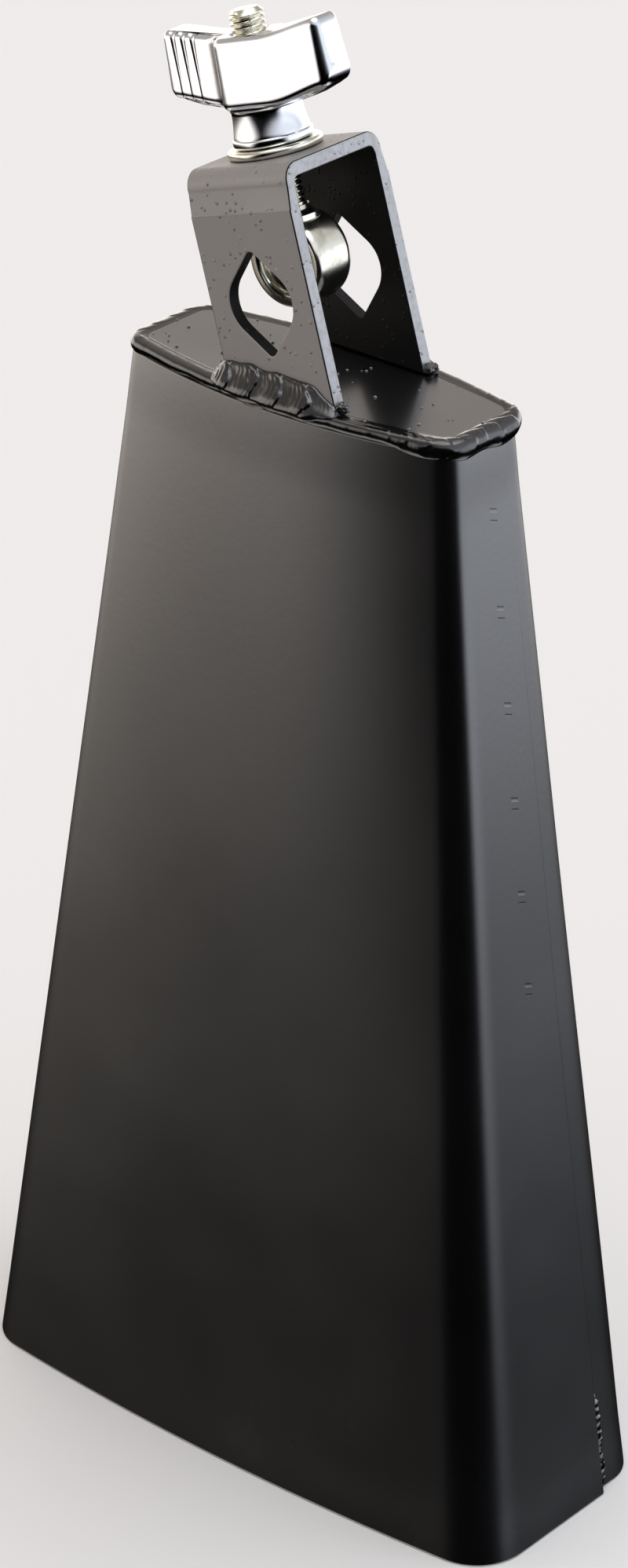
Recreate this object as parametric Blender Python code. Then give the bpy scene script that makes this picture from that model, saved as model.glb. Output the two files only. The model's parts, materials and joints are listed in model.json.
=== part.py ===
"""Cowbell with a rod clamp, in metres, +Z up.

The origin is the middle of the mouth, on the plane it rests on. +X runs along the
mouth's long side, -Y is the playing face and +Z points to the clamp.
"""

import math

import bmesh
import bpy
from mathutils import Matrix

MM = 0.001

# Bell body. Mouth sizes are taken at the rim and crown sizes at the top edge.
BELL_HEIGHT = 203.2 * MM
MOUTH_WIDTH = 120.6 * MM
MOUTH_DEPTH = 53.0 * MM
MOUTH_CORNER = 10.2 * MM
MOUTH_BOW = 2.5 * MM
CROWN_WIDTH = 70.0 * MM
CROWN_DEPTH = 29.0 * MM
CROWN_CORNER = 4.6 * MM
CROWN_BOW = 4.0 * MM
SHEET = 1.2 * MM
LAP_GAP = 0.2 * MM
LAP_LENGTH = 5.0 * MM
SEAM_AT_MOUTH = 10.6 * MM
SEAM_AT_CROWN = 4.2 * MM
WALL_LEVELS = 7

# Top plate and the bead that closes it onto the two shells.
PLATE = 1.5 * MM
PLATE_INSET = 1.6 * MM
WELD_GAP = 0.2 * MM
BEAD_OUT = 0.9 * MM
BEAD_TOP = 0.1 * MM
SHELL_DROP = 2.2 * MM

# Short beads at the foot of the two lapped seams.
SEAM_BEAD_START = 1.2 * MM
SEAM_BEAD_END = 20.0 * MM
SEAM_BEAD_WIDTH = 1.6 * MM

# Bracket: a strip bent into a U, leaning towards -X, welded on the top plate.
LEAN = math.radians(17.4)
BRACKET_TOP_X = -9.7 * MM
BRACKET_RISE = 36.5 * MM
BRACKET_WIDTH = 22.4 * MM
BRACKET_DEPTH = 25.0 * MM
STRIP = 2.5 * MM
BEND_RADIUS = 3.6 * MM
DIAMOND_CENTRE = 22.6 * MM
DIAMOND_REACH = 9.25 * MM
DIAMOND_TIP_RADIUS = 1.0 * MM
DIAMOND_SIDE_RADIUS = 5.8 * MM
BRACKET_BEAD_RISE = 3.9 * MM
BRACKET_BEAD_REACH = 2.9 * MM
TACK_SIZE = 2.4 * MM

# Eye bolt, washer and wing nut, on one axis through the bracket's top.
THREAD = 6.0 * MM
BOLT_OFFSET = -0.8 * MM
BOLT_HOLE = THREAD + 1.2 * MM
EYE_DROP = 18.0 * MM
EYE_DIAMETER = 15.6 * MM
EYE_HOLE = 10.6 * MM
EYE_WIDTH = 8.4 * MM
STUD_TOP = 23.9 * MM
NECK_DIAMETER = 6.8 * MM
NECK_TOP = 9.2 * MM
WASHER_DIAMETER = 16.0 * MM
WASHER_THICKNESS = 1.4 * MM
WASHER_HOLE = THREAD + 0.6 * MM
NUT_CLEARANCE = 0.15 * MM
STACK_GAP = 0.1 * MM

# Wing nut. Heights are above the bracket's top face.
HUB_BASE_RADIUS = 6.8 * MM
HUB_WAIST_RADIUS = 5.8 * MM
WING_SPAN = 36.2 * MM
WING_FLUSH = 5.2 * MM
WING_BACK = 1.6 * MM
WING_TURN = math.radians(4)
WING_LOW = 8.0 * MM
WING_LOW_TIP = 10.8 * MM
WING_HIGH = 20.0 * MM
WING_HIGH_TIP = 21.9 * MM

BLACK = "1b1b1c"
WELD_BLACK = "232324"
CHROME = "d9dbdd"
ZINC = "b9b5a6"


def clear_scene():
    for item in list(bpy.data.objects):
        bpy.data.objects.remove(item, do_unlink=True)


def mix(low, high, share):
    return low + (high - low) * share


def linear(hex_colour):
    """An sRGB hex colour as the linear values that a shader takes."""
    values = [int(hex_colour[i : i + 2], 16) / 255 for i in (0, 2, 4)]
    return [v / 12.92 if v <= 0.04045 else ((v + 0.055) / 1.055) ** 2.4 for v in values] + [1.0]


def paint(obj, hex_colour, roughness, metallic):
    finish = bpy.data.materials.new(obj.name + "_finish")
    finish.use_nodes = True
    shader = finish.node_tree.nodes["Principled BSDF"]
    shader.inputs["Base Color"].default_value = linear(hex_colour)
    shader.inputs["Roughness"].default_value = roughness
    shader.inputs["Metallic"].default_value = metallic
    obj.data.materials.append(finish)


def object_from(name, points, faces, round_piece=False):
    """A new mesh object, with its faces turned outwards."""
    mesh = bpy.data.meshes.new(name)
    mesh.from_pydata(points, [], faces)
    work = bmesh.new()
    work.from_mesh(mesh)
    bmesh.ops.recalc_face_normals(work, faces=work.faces)
    work.to_mesh(mesh)
    work.free()
    if round_piece:
        mesh.shade_smooth()
        mesh.set_sharp_from_angle(angle=math.radians(35))
    obj = bpy.data.objects.new(name, mesh)
    bpy.context.scene.collection.objects.link(obj)
    return obj


def arc(centre, radius, start, end, steps):
    """Points on an arc, both ends included, with angles in degrees."""
    angles = [math.radians(mix(start, end, i / steps)) for i in range(steps + 1)]
    return [(centre[0] + radius * math.cos(a), centre[1] + radius * math.sin(a)) for a in angles]


def grid_faces(rows, columns):
    """Quads between rows of points, with the same number of points in each row."""
    faces = []
    for i in range(rows - 1):
        for j in range(columns - 1):
            here = i * columns + j
            faces.append((here, here + 1, here + columns + 1, here + columns))
    return faces


def wall_sizes(height):
    """Core half width, core half depth, corner radius and bow of the bell at a height."""
    share = height / BELL_HEIGHT
    corner = mix(MOUTH_CORNER, CROWN_CORNER, share)
    bow = mix(MOUTH_BOW, CROWN_BOW, share)
    core_x = mix(MOUTH_WIDTH, CROWN_WIDTH, share) / 2 - corner
    core_y = mix(MOUTH_DEPTH, CROWN_DEPTH, share) / 2 - corner - bow
    return core_x, core_y, corner, bow


def seam_y(height):
    return mix(SEAM_AT_MOUTH, SEAM_AT_CROWN, height / BELL_HEIGHT)


def half_wall(height, inset, side_end, extra_depth=0.0):
    """Half of the wall's outline, facing -Y, from one narrow side round to the other.

    side_end is the y at which both ends stop, and inset moves the line inwards.
    """
    core_x, core_y, corner, bow = wall_sizes(height)
    core_y += extra_depth
    radius = corner - inset
    bow_radius = (core_x**2 + bow**2) / (2 * bow)
    swing = math.degrees(math.asin(core_x / bow_radius))
    centre = (0, -core_y - bow + bow_radius)
    right = arc((core_x, -core_y), radius, -90 + swing, 0, 8)
    face = arc(centre, bow_radius + radius, -90 - swing, -90 + swing, 16)
    left = [(-x, y) for x, y in reversed(right)]
    ends_x = core_x + radius
    middle = side_end / 2 - core_y / 2
    return (
        [(-ends_x, side_end), (-ends_x, middle)]
        + left
        + face[1:-1]
        + right
        + [(ends_x, middle), (ends_x, side_end)]
    )


def full_wall(height, inset):
    """The whole closed outline of the wall."""
    front = half_wall(height, inset, 0.0)
    return front + [(-x, -y) for x, y in front[1:-1]]


def shell(name, outline):
    """A bent sheet from the mouth to the crown. outline(height, inset) gives its outer line."""
    points = []
    levels = [(BELL_HEIGHT - SHELL_DROP) * i / (WALL_LEVELS - 1) for i in range(WALL_LEVELS)]
    for height in levels:
        for inset in (0.0, SHEET):
            line = outline(height, inset)
            points += [(x, y, height) for x, y in line]
    count = len(outline(0.0, 0.0))
    faces = []
    for i in range(WALL_LEVELS - 1):
        outer = i * 2 * count
        inner = outer + count
        step = 2 * count
        for j in range(count - 1):
            faces.append((outer + j, outer + j + 1, outer + j + 1 + step, outer + j + step))
            faces.append((inner + j, inner + j + step, inner + j + 1 + step, inner + j + 1))
        for j in (0, count - 1):
            faces.append((outer + j, outer + j + step, inner + j + step, inner + j))
    for outer in (0, (WALL_LEVELS - 1) * 2 * count):
        for j in range(count - 1):
            faces.append((outer + j, outer + j + 1, outer + count + j + 1, outer + count + j))
    obj = object_from(name, points, faces, round_piece=True)
    paint(obj, BLACK, 0.42, 0.2)
    return obj


def make_front_shell():
    shell("front_shell", lambda height, inset: half_wall(height, inset, seam_y(height)))


def make_rear_shell():
    """The rear sheet slides inside the front one's flanges, and its back keeps the full depth."""
    step = SHEET + LAP_GAP

    def outline(height, inset):
        line = half_wall(height, step + inset, LAP_LENGTH - seam_y(height), extra_depth=step)
        return [(-x, -y) for x, y in line]

    shell("rear_shell", outline)


def make_top_cap():
    outline = full_wall(BELL_HEIGHT, PLATE_INSET)
    count = len(outline)
    points = [(x, y, BELL_HEIGHT - PLATE) for x, y in outline]
    points += [(x, y, BELL_HEIGHT) for x, y in outline]
    faces = [tuple(reversed(range(count))), tuple(range(count, 2 * count))]
    faces += [(j, (j + 1) % count, count + (j + 1) % count, count + j) for j in range(count)]
    paint(object_from("top_cap", points, faces), BLACK, 0.42, 0.2)


def make_cap_weld():
    """A bead round the crown, over the shells' top edges and against the plate's edge."""
    low = BELL_HEIGHT - SHELL_DROP + WELD_GAP
    high = BELL_HEIGHT + BEAD_TOP
    inner = -PLATE_INSET + WELD_GAP
    profile = [
        (inner, low),
        (0.0, low),
        (BEAD_OUT * 0.75, mix(low, high, 0.06)),
        (BEAD_OUT, mix(low, high, 0.35)),
        (BEAD_OUT * 0.72, mix(low, high, 0.74)),
        (0.0, high),
        (inner * 0.6, high),
        (inner, mix(low, high, 0.9)),
    ]
    loops = [[(x, y, z) for x, y in full_wall(BELL_HEIGHT, -out)] for out, z in profile]
    count = len(loops[0])
    points = [loop[j] for j in range(count) for loop in loops]
    faces = []
    for j in range(count):
        for k in range(len(profile)):
            here = j * len(profile)
            there = (j + 1) % count * len(profile)
            after = (k + 1) % len(profile)
            faces.append((here + k, here + after, there + after, there + k))
    paint(object_from("cap_weld", points, faces, round_piece=True), WELD_BLACK, 0.35, 0.2)


def make_seam_weld(name, side):
    """A fillet bead in the step where a flange of the front shell ends over the rear shell."""
    rows = 10
    lap = SHEET + LAP_GAP
    points = []
    for i in range(rows):
        z = mix(SEAM_BEAD_START, SEAM_BEAD_END, i / (rows - 1))
        core_x, _, corner, _ = wall_sizes(z)
        wall_x = core_x + corner
        floor_x = wall_x - lap + LAP_GAP / 2
        start_y = seam_y(z) + LAP_GAP / 2
        end = SEAM_BEAD_WIDTH * (0.6 if i in (0, rows - 1) else 1.0)
        section = [
            (floor_x, start_y),
            (wall_x - LAP_GAP, start_y),
            (wall_x - LAP_GAP, start_y + end * 0.35),
            (floor_x + lap * 0.5, start_y + end * 0.8),
            (floor_x, start_y + end),
        ]
        points += [(side * x, y, z) for x, y in section]
    faces = []
    for i in range(rows - 1):
        for k in range(5):
            here = i * 5
            faces.append((here + k, here + (k + 1) % 5, here + 5 + (k + 1) % 5, here + 5 + k))
    faces += [(4, 3, 2, 1, 0), tuple(range((rows - 1) * 5, rows * 5))]
    paint(object_from(name, points, faces), WELD_BLACK, 0.35, 0.2)


def make_clamp_frame():
    """An empty at the middle of the bracket's top face, leaning with it."""
    frame = bpy.data.objects.new("clamp_frame", None)
    frame.location = (BRACKET_TOP_X, 0, BELL_HEIGHT + BRACKET_RISE)
    frame.rotation_euler = (0, -LEAN, 0)
    bpy.context.scene.collection.objects.link(frame)
    return frame


def foot_height(across):
    """How far below the bracket's top the plate lies, for a place across the strip."""
    drop = BRACKET_RISE - WELD_GAP
    return (drop + across * math.sin(LEAN)) / math.cos(LEAN)


def cutter(name, points, faces, frame):
    tool = object_from(name, points, faces)
    tool.parent = frame
    tool.hide_render = True
    tool.display_type = "WIRE"
    return tool


def prism(outline, low, high, place):
    """Points and faces of an outline swept from low to high. place(a, b, c) gives the 3D point."""
    count = len(outline)
    points = [place(a, b, low) for a, b in outline] + [place(a, b, high) for a, b in outline]
    faces = [tuple(reversed(range(count))), tuple(range(count, 2 * count))]
    faces += [(j, (j + 1) % count, count + (j + 1) % count, count + j) for j in range(count)]
    return points, faces


def boolean(obj, tool, operation):
    step = obj.modifiers.new(tool.name, "BOOLEAN")
    step.operation = operation
    step.object = tool
    step.solver = "EXACT"


def diamond_outline():
    """A square stood on its corner, with tight top and bottom corners and wide side ones."""
    tip = DIAMOND_REACH - DIAMOND_TIP_RADIUS * math.sqrt(2)
    side = DIAMOND_REACH - DIAMOND_SIDE_RADIUS * math.sqrt(2)
    return (
        arc((side, 0), DIAMOND_SIDE_RADIUS, -45, 45, 8)
        + arc((0, tip), DIAMOND_TIP_RADIUS, 45, 135, 4)
        + arc((-side, 0), DIAMOND_SIDE_RADIUS, 135, 225, 8)
        + arc((0, -tip), DIAMOND_TIP_RADIUS, 225, 315, 4)
    )


def make_mount_bracket(frame):
    half = BRACKET_DEPTH / 2
    bend = BEND_RADIUS
    outer = arc((half - bend, -bend), bend, 0, 90, 8)
    inner = arc((half - bend, -bend), bend - STRIP, 90, 0, 8)
    ends = (-BRACKET_WIDTH / 2, BRACKET_WIDTH / 2)
    points = []
    for across in ends:
        foot = -foot_height(across)
        right = [(half, foot)] + outer
        left = [(-y, v) for y, v in reversed(right)]
        inside = inner + [(half - STRIP, foot)]
        mirrored = [(-y, v) for y, v in reversed(inside)]
        points += [(across, y, v) for y, v in right + left + mirrored + inside]
    count = len(points) // 2
    faces = [tuple(range(count)), tuple(range(count, 2 * count))]
    faces += [(j, (j + 1) % count, count + (j + 1) % count, count + j) for j in range(count)]
    obj = object_from("mount_bracket", points, faces, round_piece=True)
    obj.parent = frame
    reach = BRACKET_DEPTH
    through = prism(diamond_outline(), -reach, reach, lambda a, b, c: (a, c, b - DIAMOND_CENTRE))
    boolean(obj, cutter("diamond_cutter", *through, frame), "DIFFERENCE")
    ring = arc((BOLT_OFFSET, 0), BOLT_HOLE / 2, 0, 360, 32)[:-1]
    hole = prism(ring, -2 * STRIP, STRIP, lambda a, b, c: (a, b, c))
    boolean(obj, cutter("bolt_hole_cutter", *hole, frame), "DIFFERENCE")
    paint(obj, BLACK, 0.42, 0.2)


def make_bracket_weld(name, frame, side):
    """A fillet bead along the outside of a leg's foot. side is -1 at the front and 1 at the back."""
    rows = 12
    face_y = BRACKET_DEPTH / 2 + WELD_GAP / 2
    points = []
    for i in range(rows):
        across = mix(-BRACKET_WIDTH / 2, BRACKET_WIDTH / 2, i / (rows - 1))
        foot = -foot_height(across) + WELD_GAP
        size = 0.7 if i in (0, rows - 1) else 1.0
        rise = BRACKET_BEAD_RISE * size
        out = BRACKET_BEAD_REACH * size
        section = [
            (face_y, foot),
            (face_y + out, foot),
            (face_y + out * 0.85, foot + rise * 0.35),
            (face_y + out * 0.4, foot + rise * 0.8),
            (face_y, foot + rise),
        ]
        points += [(across, side * y, v) for y, v in section]
    faces = [(0, 1, 2, 3, 4), tuple(range((rows - 1) * 5, rows * 5))]
    for i in range(rows - 1):
        for k in range(5):
            here = i * 5
            faces.append((here + k, here + (k + 1) % 5, here + 5 + (k + 1) % 5, here + 5 + k))
    obj = object_from(name, points, faces)
    obj.parent = frame
    paint(obj, WELD_BLACK, 0.35, 0.2)


def make_bracket_tack(name, frame, side):
    """A small lump of weld at the cut edge of a leg's foot, on the bracket's +X side."""
    start = BRACKET_WIDTH / 2 + WELD_GAP / 2
    middle_y = side * (BRACKET_DEPTH / 2 - STRIP / 2)
    foot = -foot_height(start) + WELD_GAP
    slope = math.tan(LEAN)
    rings = [(1.0, 0.0), (0.9, 0.5), (0.55, 0.9)]
    points = []
    for size, rise in rings:
        for a, b in arc((0, 0), TACK_SIZE / 2 * size, -90, 90, 8):
            across = start + a
            points.append((across, middle_y + b, foot - slope * a + TACK_SIZE * 0.7 * rise))
    faces = grid_faces(3, 9)
    faces += [tuple(range(9)), tuple(range(18, 27)), (0, 9, 18, 26, 17, 8)]
    obj = object_from(name, points, faces)
    obj.parent = frame
    paint(obj, WELD_BLACK, 0.35, 0.2)


def lathe(name, profile, steps=48):
    """A round piece turned about its own Z. The profile is (radius, height) pairs, closed."""
    points = []
    for i in range(steps):
        turn = math.tau * i / steps
        points += [(r * math.cos(turn), r * math.sin(turn), z) for r, z in profile]
    count = len(profile)
    faces = []
    for i in range(steps):
        for k in range(count):
            here = i * count
            there = (i + 1) % steps * count
            after = (k + 1) % count
            faces.append((here + k, here + after, there + after, there + k))
    return object_from(name, points, faces, round_piece=True)


def solid_lathe(name, profile, steps=40):
    """A turned piece with no bore. The profile runs up the outside."""
    points = []
    for radius, z in profile:
        for i in range(steps):
            turn = math.tau * i / steps
            points.append((radius * math.cos(turn), radius * math.sin(turn), z))
    faces = [tuple(reversed(range(steps)))]
    for k in range(len(profile) - 1):
        for i in range(steps):
            here = k * steps + i
            after = k * steps + (i + 1) % steps
            faces.append((here, after, after + steps, here + steps))
    last = (len(profile) - 1) * steps
    faces.append(tuple(range(last, last + steps)))
    return object_from(name, points, faces, round_piece=True)


def on_axis(obj, frame, height=0.0):
    obj.parent = frame
    obj.location = (BOLT_OFFSET, 0, height)


def make_eye_bolt(frame):
    """The bolt's origin is the middle of its eye, on the thread's axis."""
    half = EYE_WIDTH / 2
    outer = EYE_DIAMETER / 2
    inner = EYE_HOLE / 2
    ease = 1.4 * MM
    bolt = lathe(
        "eye_bolt",
        [
            (inner, half - ease),
            (inner, ease - half),
            (inner + ease * 0.6, -half),
            (outer - ease, -half),
            (outer - ease * 0.3, -half + ease * 0.3),
            (outer, ease - half),
            (outer, half - ease),
            (outer - ease * 0.3, half - ease * 0.3),
            (outer - ease, half),
            (inner + ease * 0.6, half),
        ],
    )
    bolt.data.transform(Matrix.Rotation(math.radians(90), 4, "X"))
    radius = THREAD / 2
    neck = NECK_DIAMETER / 2
    start = (inner + outer) / 2
    shank = solid_lathe(
        "shank",
        [
            (neck, start),
            (neck, EYE_DROP - NECK_TOP - 0.4 * MM),
            (radius, EYE_DROP - NECK_TOP),
            (radius, EYE_DROP + STUD_TOP - 0.8 * MM),
            (radius - 0.6 * MM, EYE_DROP + STUD_TOP),
        ],
    )
    on_axis(bolt, frame, -EYE_DROP)
    on_axis(shank, frame, -EYE_DROP)
    shank.hide_render = True
    shank.display_type = "WIRE"
    boolean(bolt, shank, "UNION")
    paint(bolt, ZINC, 0.25, 1.0)


def make_washer(frame):
    low = STACK_GAP
    high = STACK_GAP + WASHER_THICKNESS
    outer = WASHER_DIAMETER / 2
    ease = 0.4 * MM
    washer = lathe(
        "washer",
        [
            (WASHER_HOLE / 2, low),
            (outer - ease, low),
            (outer, low + ease),
            (outer, high - ease),
            (outer - ease, high),
            (WASHER_HOLE / 2, high),
        ],
    )
    on_axis(washer, frame)
    paint(washer, ZINC, 0.3, 1.0)


def wing_outline():
    """The wings seen from above: each is flush with the hub on one side and set back on the other."""
    tip = WING_SPAN / 2
    ease = 1.2 * MM
    half = (
        [(-4.0 * MM, -WING_FLUSH)]
        + arc((tip - ease, ease - WING_FLUSH), ease, -90, 0, 3)
        + arc((tip - ease, WING_BACK - ease), ease, 0, 90, 3)
        + [(9.4 * MM, WING_BACK), (7.4 * MM, 2.0 * MM), (5.9 * MM, 3.3 * MM), (4.9 * MM, 4.6 * MM)]
    )
    return half + [(-x, -y) for x, y in half]


def make_wing_nut(frame):
    """The nut's origin is on the thread's axis, level with the bracket's top face."""
    tip = WING_SPAN / 2
    outline = wing_outline()
    turn_x = math.cos(WING_TURN)
    turn_y = math.sin(WING_TURN)

    def level(x, at_hub, at_tip):
        share = max(0.0, abs(x) / tip - 0.3) / 0.7
        return mix(at_hub, at_tip, share)

    points = []
    for at_hub, at_tip in ((WING_LOW, WING_LOW_TIP), (WING_HIGH, WING_HIGH_TIP)):
        for x, y in outline:
            z = level(x, at_hub, at_tip)
            points.append((x * turn_x - y * turn_y, x * turn_y + y * turn_x, z))
    count = len(outline)
    faces = [tuple(range(count)), tuple(range(count, 2 * count))]
    faces += [(j, (j + 1) % count, count + (j + 1) % count, count + j) for j in range(count)]
    nut = object_from("wing_nut", points, faces)
    work = bmesh.new()
    work.from_mesh(nut.data)
    bmesh.ops.triangulate(work, faces=[f for f in work.faces if len(f.verts) > 4])
    work.to_mesh(nut.data)
    work.free()
    base = STACK_GAP * 2 + WASHER_THICKNESS
    hub = solid_lathe(
        "hub",
        [
            (HUB_BASE_RADIUS - 0.6 * MM, base),
            (HUB_BASE_RADIUS, base + 0.6 * MM),
            (HUB_BASE_RADIUS, base + 1.8 * MM),
            (HUB_WAIST_RADIUS, WING_LOW),
            (HUB_WAIST_RADIUS, WING_HIGH - 0.9 * MM),
            (HUB_WAIST_RADIUS - 0.9 * MM, WING_HIGH + 0.1 * MM),
        ],
    )
    bore_radius = THREAD / 2 + NUT_CLEARANCE
    bore = solid_lathe("bore", [(bore_radius, 0.0), (bore_radius, STUD_TOP)])
    on_axis(nut, frame)
    for tool, operation in ((hub, "UNION"), (bore, "DIFFERENCE")):
        on_axis(tool, frame)
        tool.hide_render = True
        tool.display_type = "WIRE"
        boolean(nut, tool, operation)
    paint(nut, CHROME, 0.12, 1.0)


def main():
    clear_scene()
    make_front_shell()
    make_rear_shell()
    make_top_cap()
    make_cap_weld()
    make_seam_weld("seam_weld_right", 1)
    make_seam_weld("seam_weld_left", -1)
    frame = make_clamp_frame()
    make_mount_bracket(frame)
    make_bracket_weld("bracket_weld_front", frame, -1)
    make_bracket_weld("bracket_weld_rear", frame, 1)
    make_bracket_tack("bracket_tack_front", frame, -1)
    make_bracket_tack("bracket_tack_rear", frame, 1)
    make_eye_bolt(frame)
    make_washer(frame)
    make_wing_nut(frame)


main()
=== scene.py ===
import json
import math

import bmesh
import bpy
from mathutils import Matrix, Vector, noise


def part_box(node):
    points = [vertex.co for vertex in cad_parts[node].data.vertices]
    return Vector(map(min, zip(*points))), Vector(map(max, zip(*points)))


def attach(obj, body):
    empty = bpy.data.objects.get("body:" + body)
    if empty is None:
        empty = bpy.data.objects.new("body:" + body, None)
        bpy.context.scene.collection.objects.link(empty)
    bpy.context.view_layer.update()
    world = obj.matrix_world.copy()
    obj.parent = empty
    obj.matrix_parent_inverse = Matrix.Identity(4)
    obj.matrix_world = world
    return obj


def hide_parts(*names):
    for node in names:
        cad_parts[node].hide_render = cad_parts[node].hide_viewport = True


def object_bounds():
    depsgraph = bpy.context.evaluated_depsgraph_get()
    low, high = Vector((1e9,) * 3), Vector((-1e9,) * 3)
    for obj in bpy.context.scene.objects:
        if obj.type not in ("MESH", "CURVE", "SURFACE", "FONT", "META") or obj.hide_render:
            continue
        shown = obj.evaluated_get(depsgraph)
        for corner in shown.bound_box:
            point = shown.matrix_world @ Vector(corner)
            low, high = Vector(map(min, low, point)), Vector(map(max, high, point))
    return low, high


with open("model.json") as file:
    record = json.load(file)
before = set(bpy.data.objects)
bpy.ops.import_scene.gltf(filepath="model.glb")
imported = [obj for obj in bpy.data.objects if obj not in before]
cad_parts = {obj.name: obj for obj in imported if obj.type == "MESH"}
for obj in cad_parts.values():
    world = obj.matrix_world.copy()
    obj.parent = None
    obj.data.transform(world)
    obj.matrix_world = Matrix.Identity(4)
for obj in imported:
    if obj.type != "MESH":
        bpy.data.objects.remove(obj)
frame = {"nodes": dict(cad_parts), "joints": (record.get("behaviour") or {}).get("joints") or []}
cadLow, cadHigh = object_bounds()
scene = bpy.context.scene
mm = 0.001
print("cad frame loaded")

# the screw's axis gives the leaning frame: u across the strip, y along the rod, v up the screw
spin = next(j for j in frame["joints"] if j["name"] == "wing_nut_spin")
vAxis = Vector(spin["axis"]).normalized()
yAxis = Vector((0, 1, 0))
uAxis = yAxis.cross(vAxis)
clampPlace = Matrix.Translation(spin["pos_m"]) @ Matrix((uAxis, yAxis, vAxis)).transposed().to_4x4()


def leanBox(node):
    back = clampPlace.inverted()
    points = [back @ v.co for v in frame["nodes"][node].data.vertices]
    return [Vector([pick(p[i] for p in points) for i in range(3)]) for pick in (min, max)]


def mix(low, high, share):
    return low + (high - low) * share


def smooth(low, high, value):
    share = min(1.0, max(0.0, (value - low) / (high - low)))
    return share * share * (3 - 2 * share)


def hexLinear(text):
    parts = [int(text[i:i + 2], 16) / 255 for i in (0, 2, 4)]
    return [p / 12.92 if p <= 0.04045 else ((p + 0.055) / 1.055) ** 2.4 for p in parts] + [1.0]


# an input is a value, a socket, or a node whose first output is meant
def addNode(tree, kind, inputs=None, **settings):
    node = tree.nodes.new(kind)
    for name, value in settings.items():
        setattr(node, name, value)
    for key, value in (inputs or {}).items():
        if isinstance(value, bpy.types.Node):
            value = value.outputs[0]
        if isinstance(value, bpy.types.NodeSocket):
            tree.links.new(value, node.inputs[key])
        else:
            node.inputs[key].default_value = value
    return node


cameraSetup = {
    "azimuth": 39.76, "elevation": 27.38, "roll": 0.78,  # degrees
    "distance": 0.9016, "target": (-0.0004, -0.0003, 0.127),  # metres
    "lens": 120.0, "shiftY": -0.0029,
}


def makeCamera(setup):
    turn, tilt, roll = (math.radians(setup[k]) for k in ("azimuth", "elevation", "roll"))
    back = Vector((math.sin(turn) * math.cos(tilt), -math.cos(turn) * math.cos(tilt), math.sin(tilt)))
    right = (-back).cross(Vector((0, 0, 1))).normalized()
    up = right.cross(-back)
    side = right * math.cos(roll) + up * math.sin(roll)
    top = up * math.cos(roll) - right * math.sin(roll)
    data = bpy.data.cameras.new("studio_camera")
    data.lens = setup["lens"]
    data.shift_y = setup["shiftY"]
    data.clip_start = 0.05
    camera = bpy.data.objects.new("studio_camera", data)
    place = Matrix((side, top, back)).transposed().to_4x4()
    place.translation = Vector(setup["target"]) + back * setup["distance"]
    camera.matrix_world = place
    scene.collection.objects.link(camera)
    scene.camera = camera


studio = {
    "floorSize": 8.0, "floorDrop": 0.1 * mm, "floorColour": "cfcecc",
    "warm": "fff5ec", "cool": "edf2fc", "tintWide": 0.7,  # left and right of the set
    "strength": 1.95,
    # brightness of the surround by the sine of the elevation, from the ground to overhead
    "levels": ((-1.0, 0.8), (-0.86, 0.6), (-0.66, 0.0), (-0.48, 0.0), (-0.44, 0.01), (-0.41, 0.035),
               (-0.38, 0.085), (-0.35, 0.2), (-0.32, 0.46), (-0.28, 0.88), (-0.1, 1.05), (0.1, 1.05),
               (0.3, 0.42), (0.42, 0.26), (0.72, 0.28), (1.0, 1.6)),
    "rightLift": 0.036,  # to the right the dark ground reaches this much higher
    "rightTop": 1.7, "topFrom": 0.2, "topTo": 0.5,  # and a large lamp hangs high up there
    # a tall dark screen to the right of the playing face: the turn of its middle from -Y towards +X, and
    # how far to either side it starts and is full, in degrees
    "darkTurn": 35.0, "darkFrom": 68.0, "darkTo": 44.0,
    "darkFull": 0.22, "darkTop": 0.48,  # it fades out between these sines
    "darkSplay": 0.4, "darkSplayAt": -0.2,  # it is wider nearer the ground than this sine
}


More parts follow.
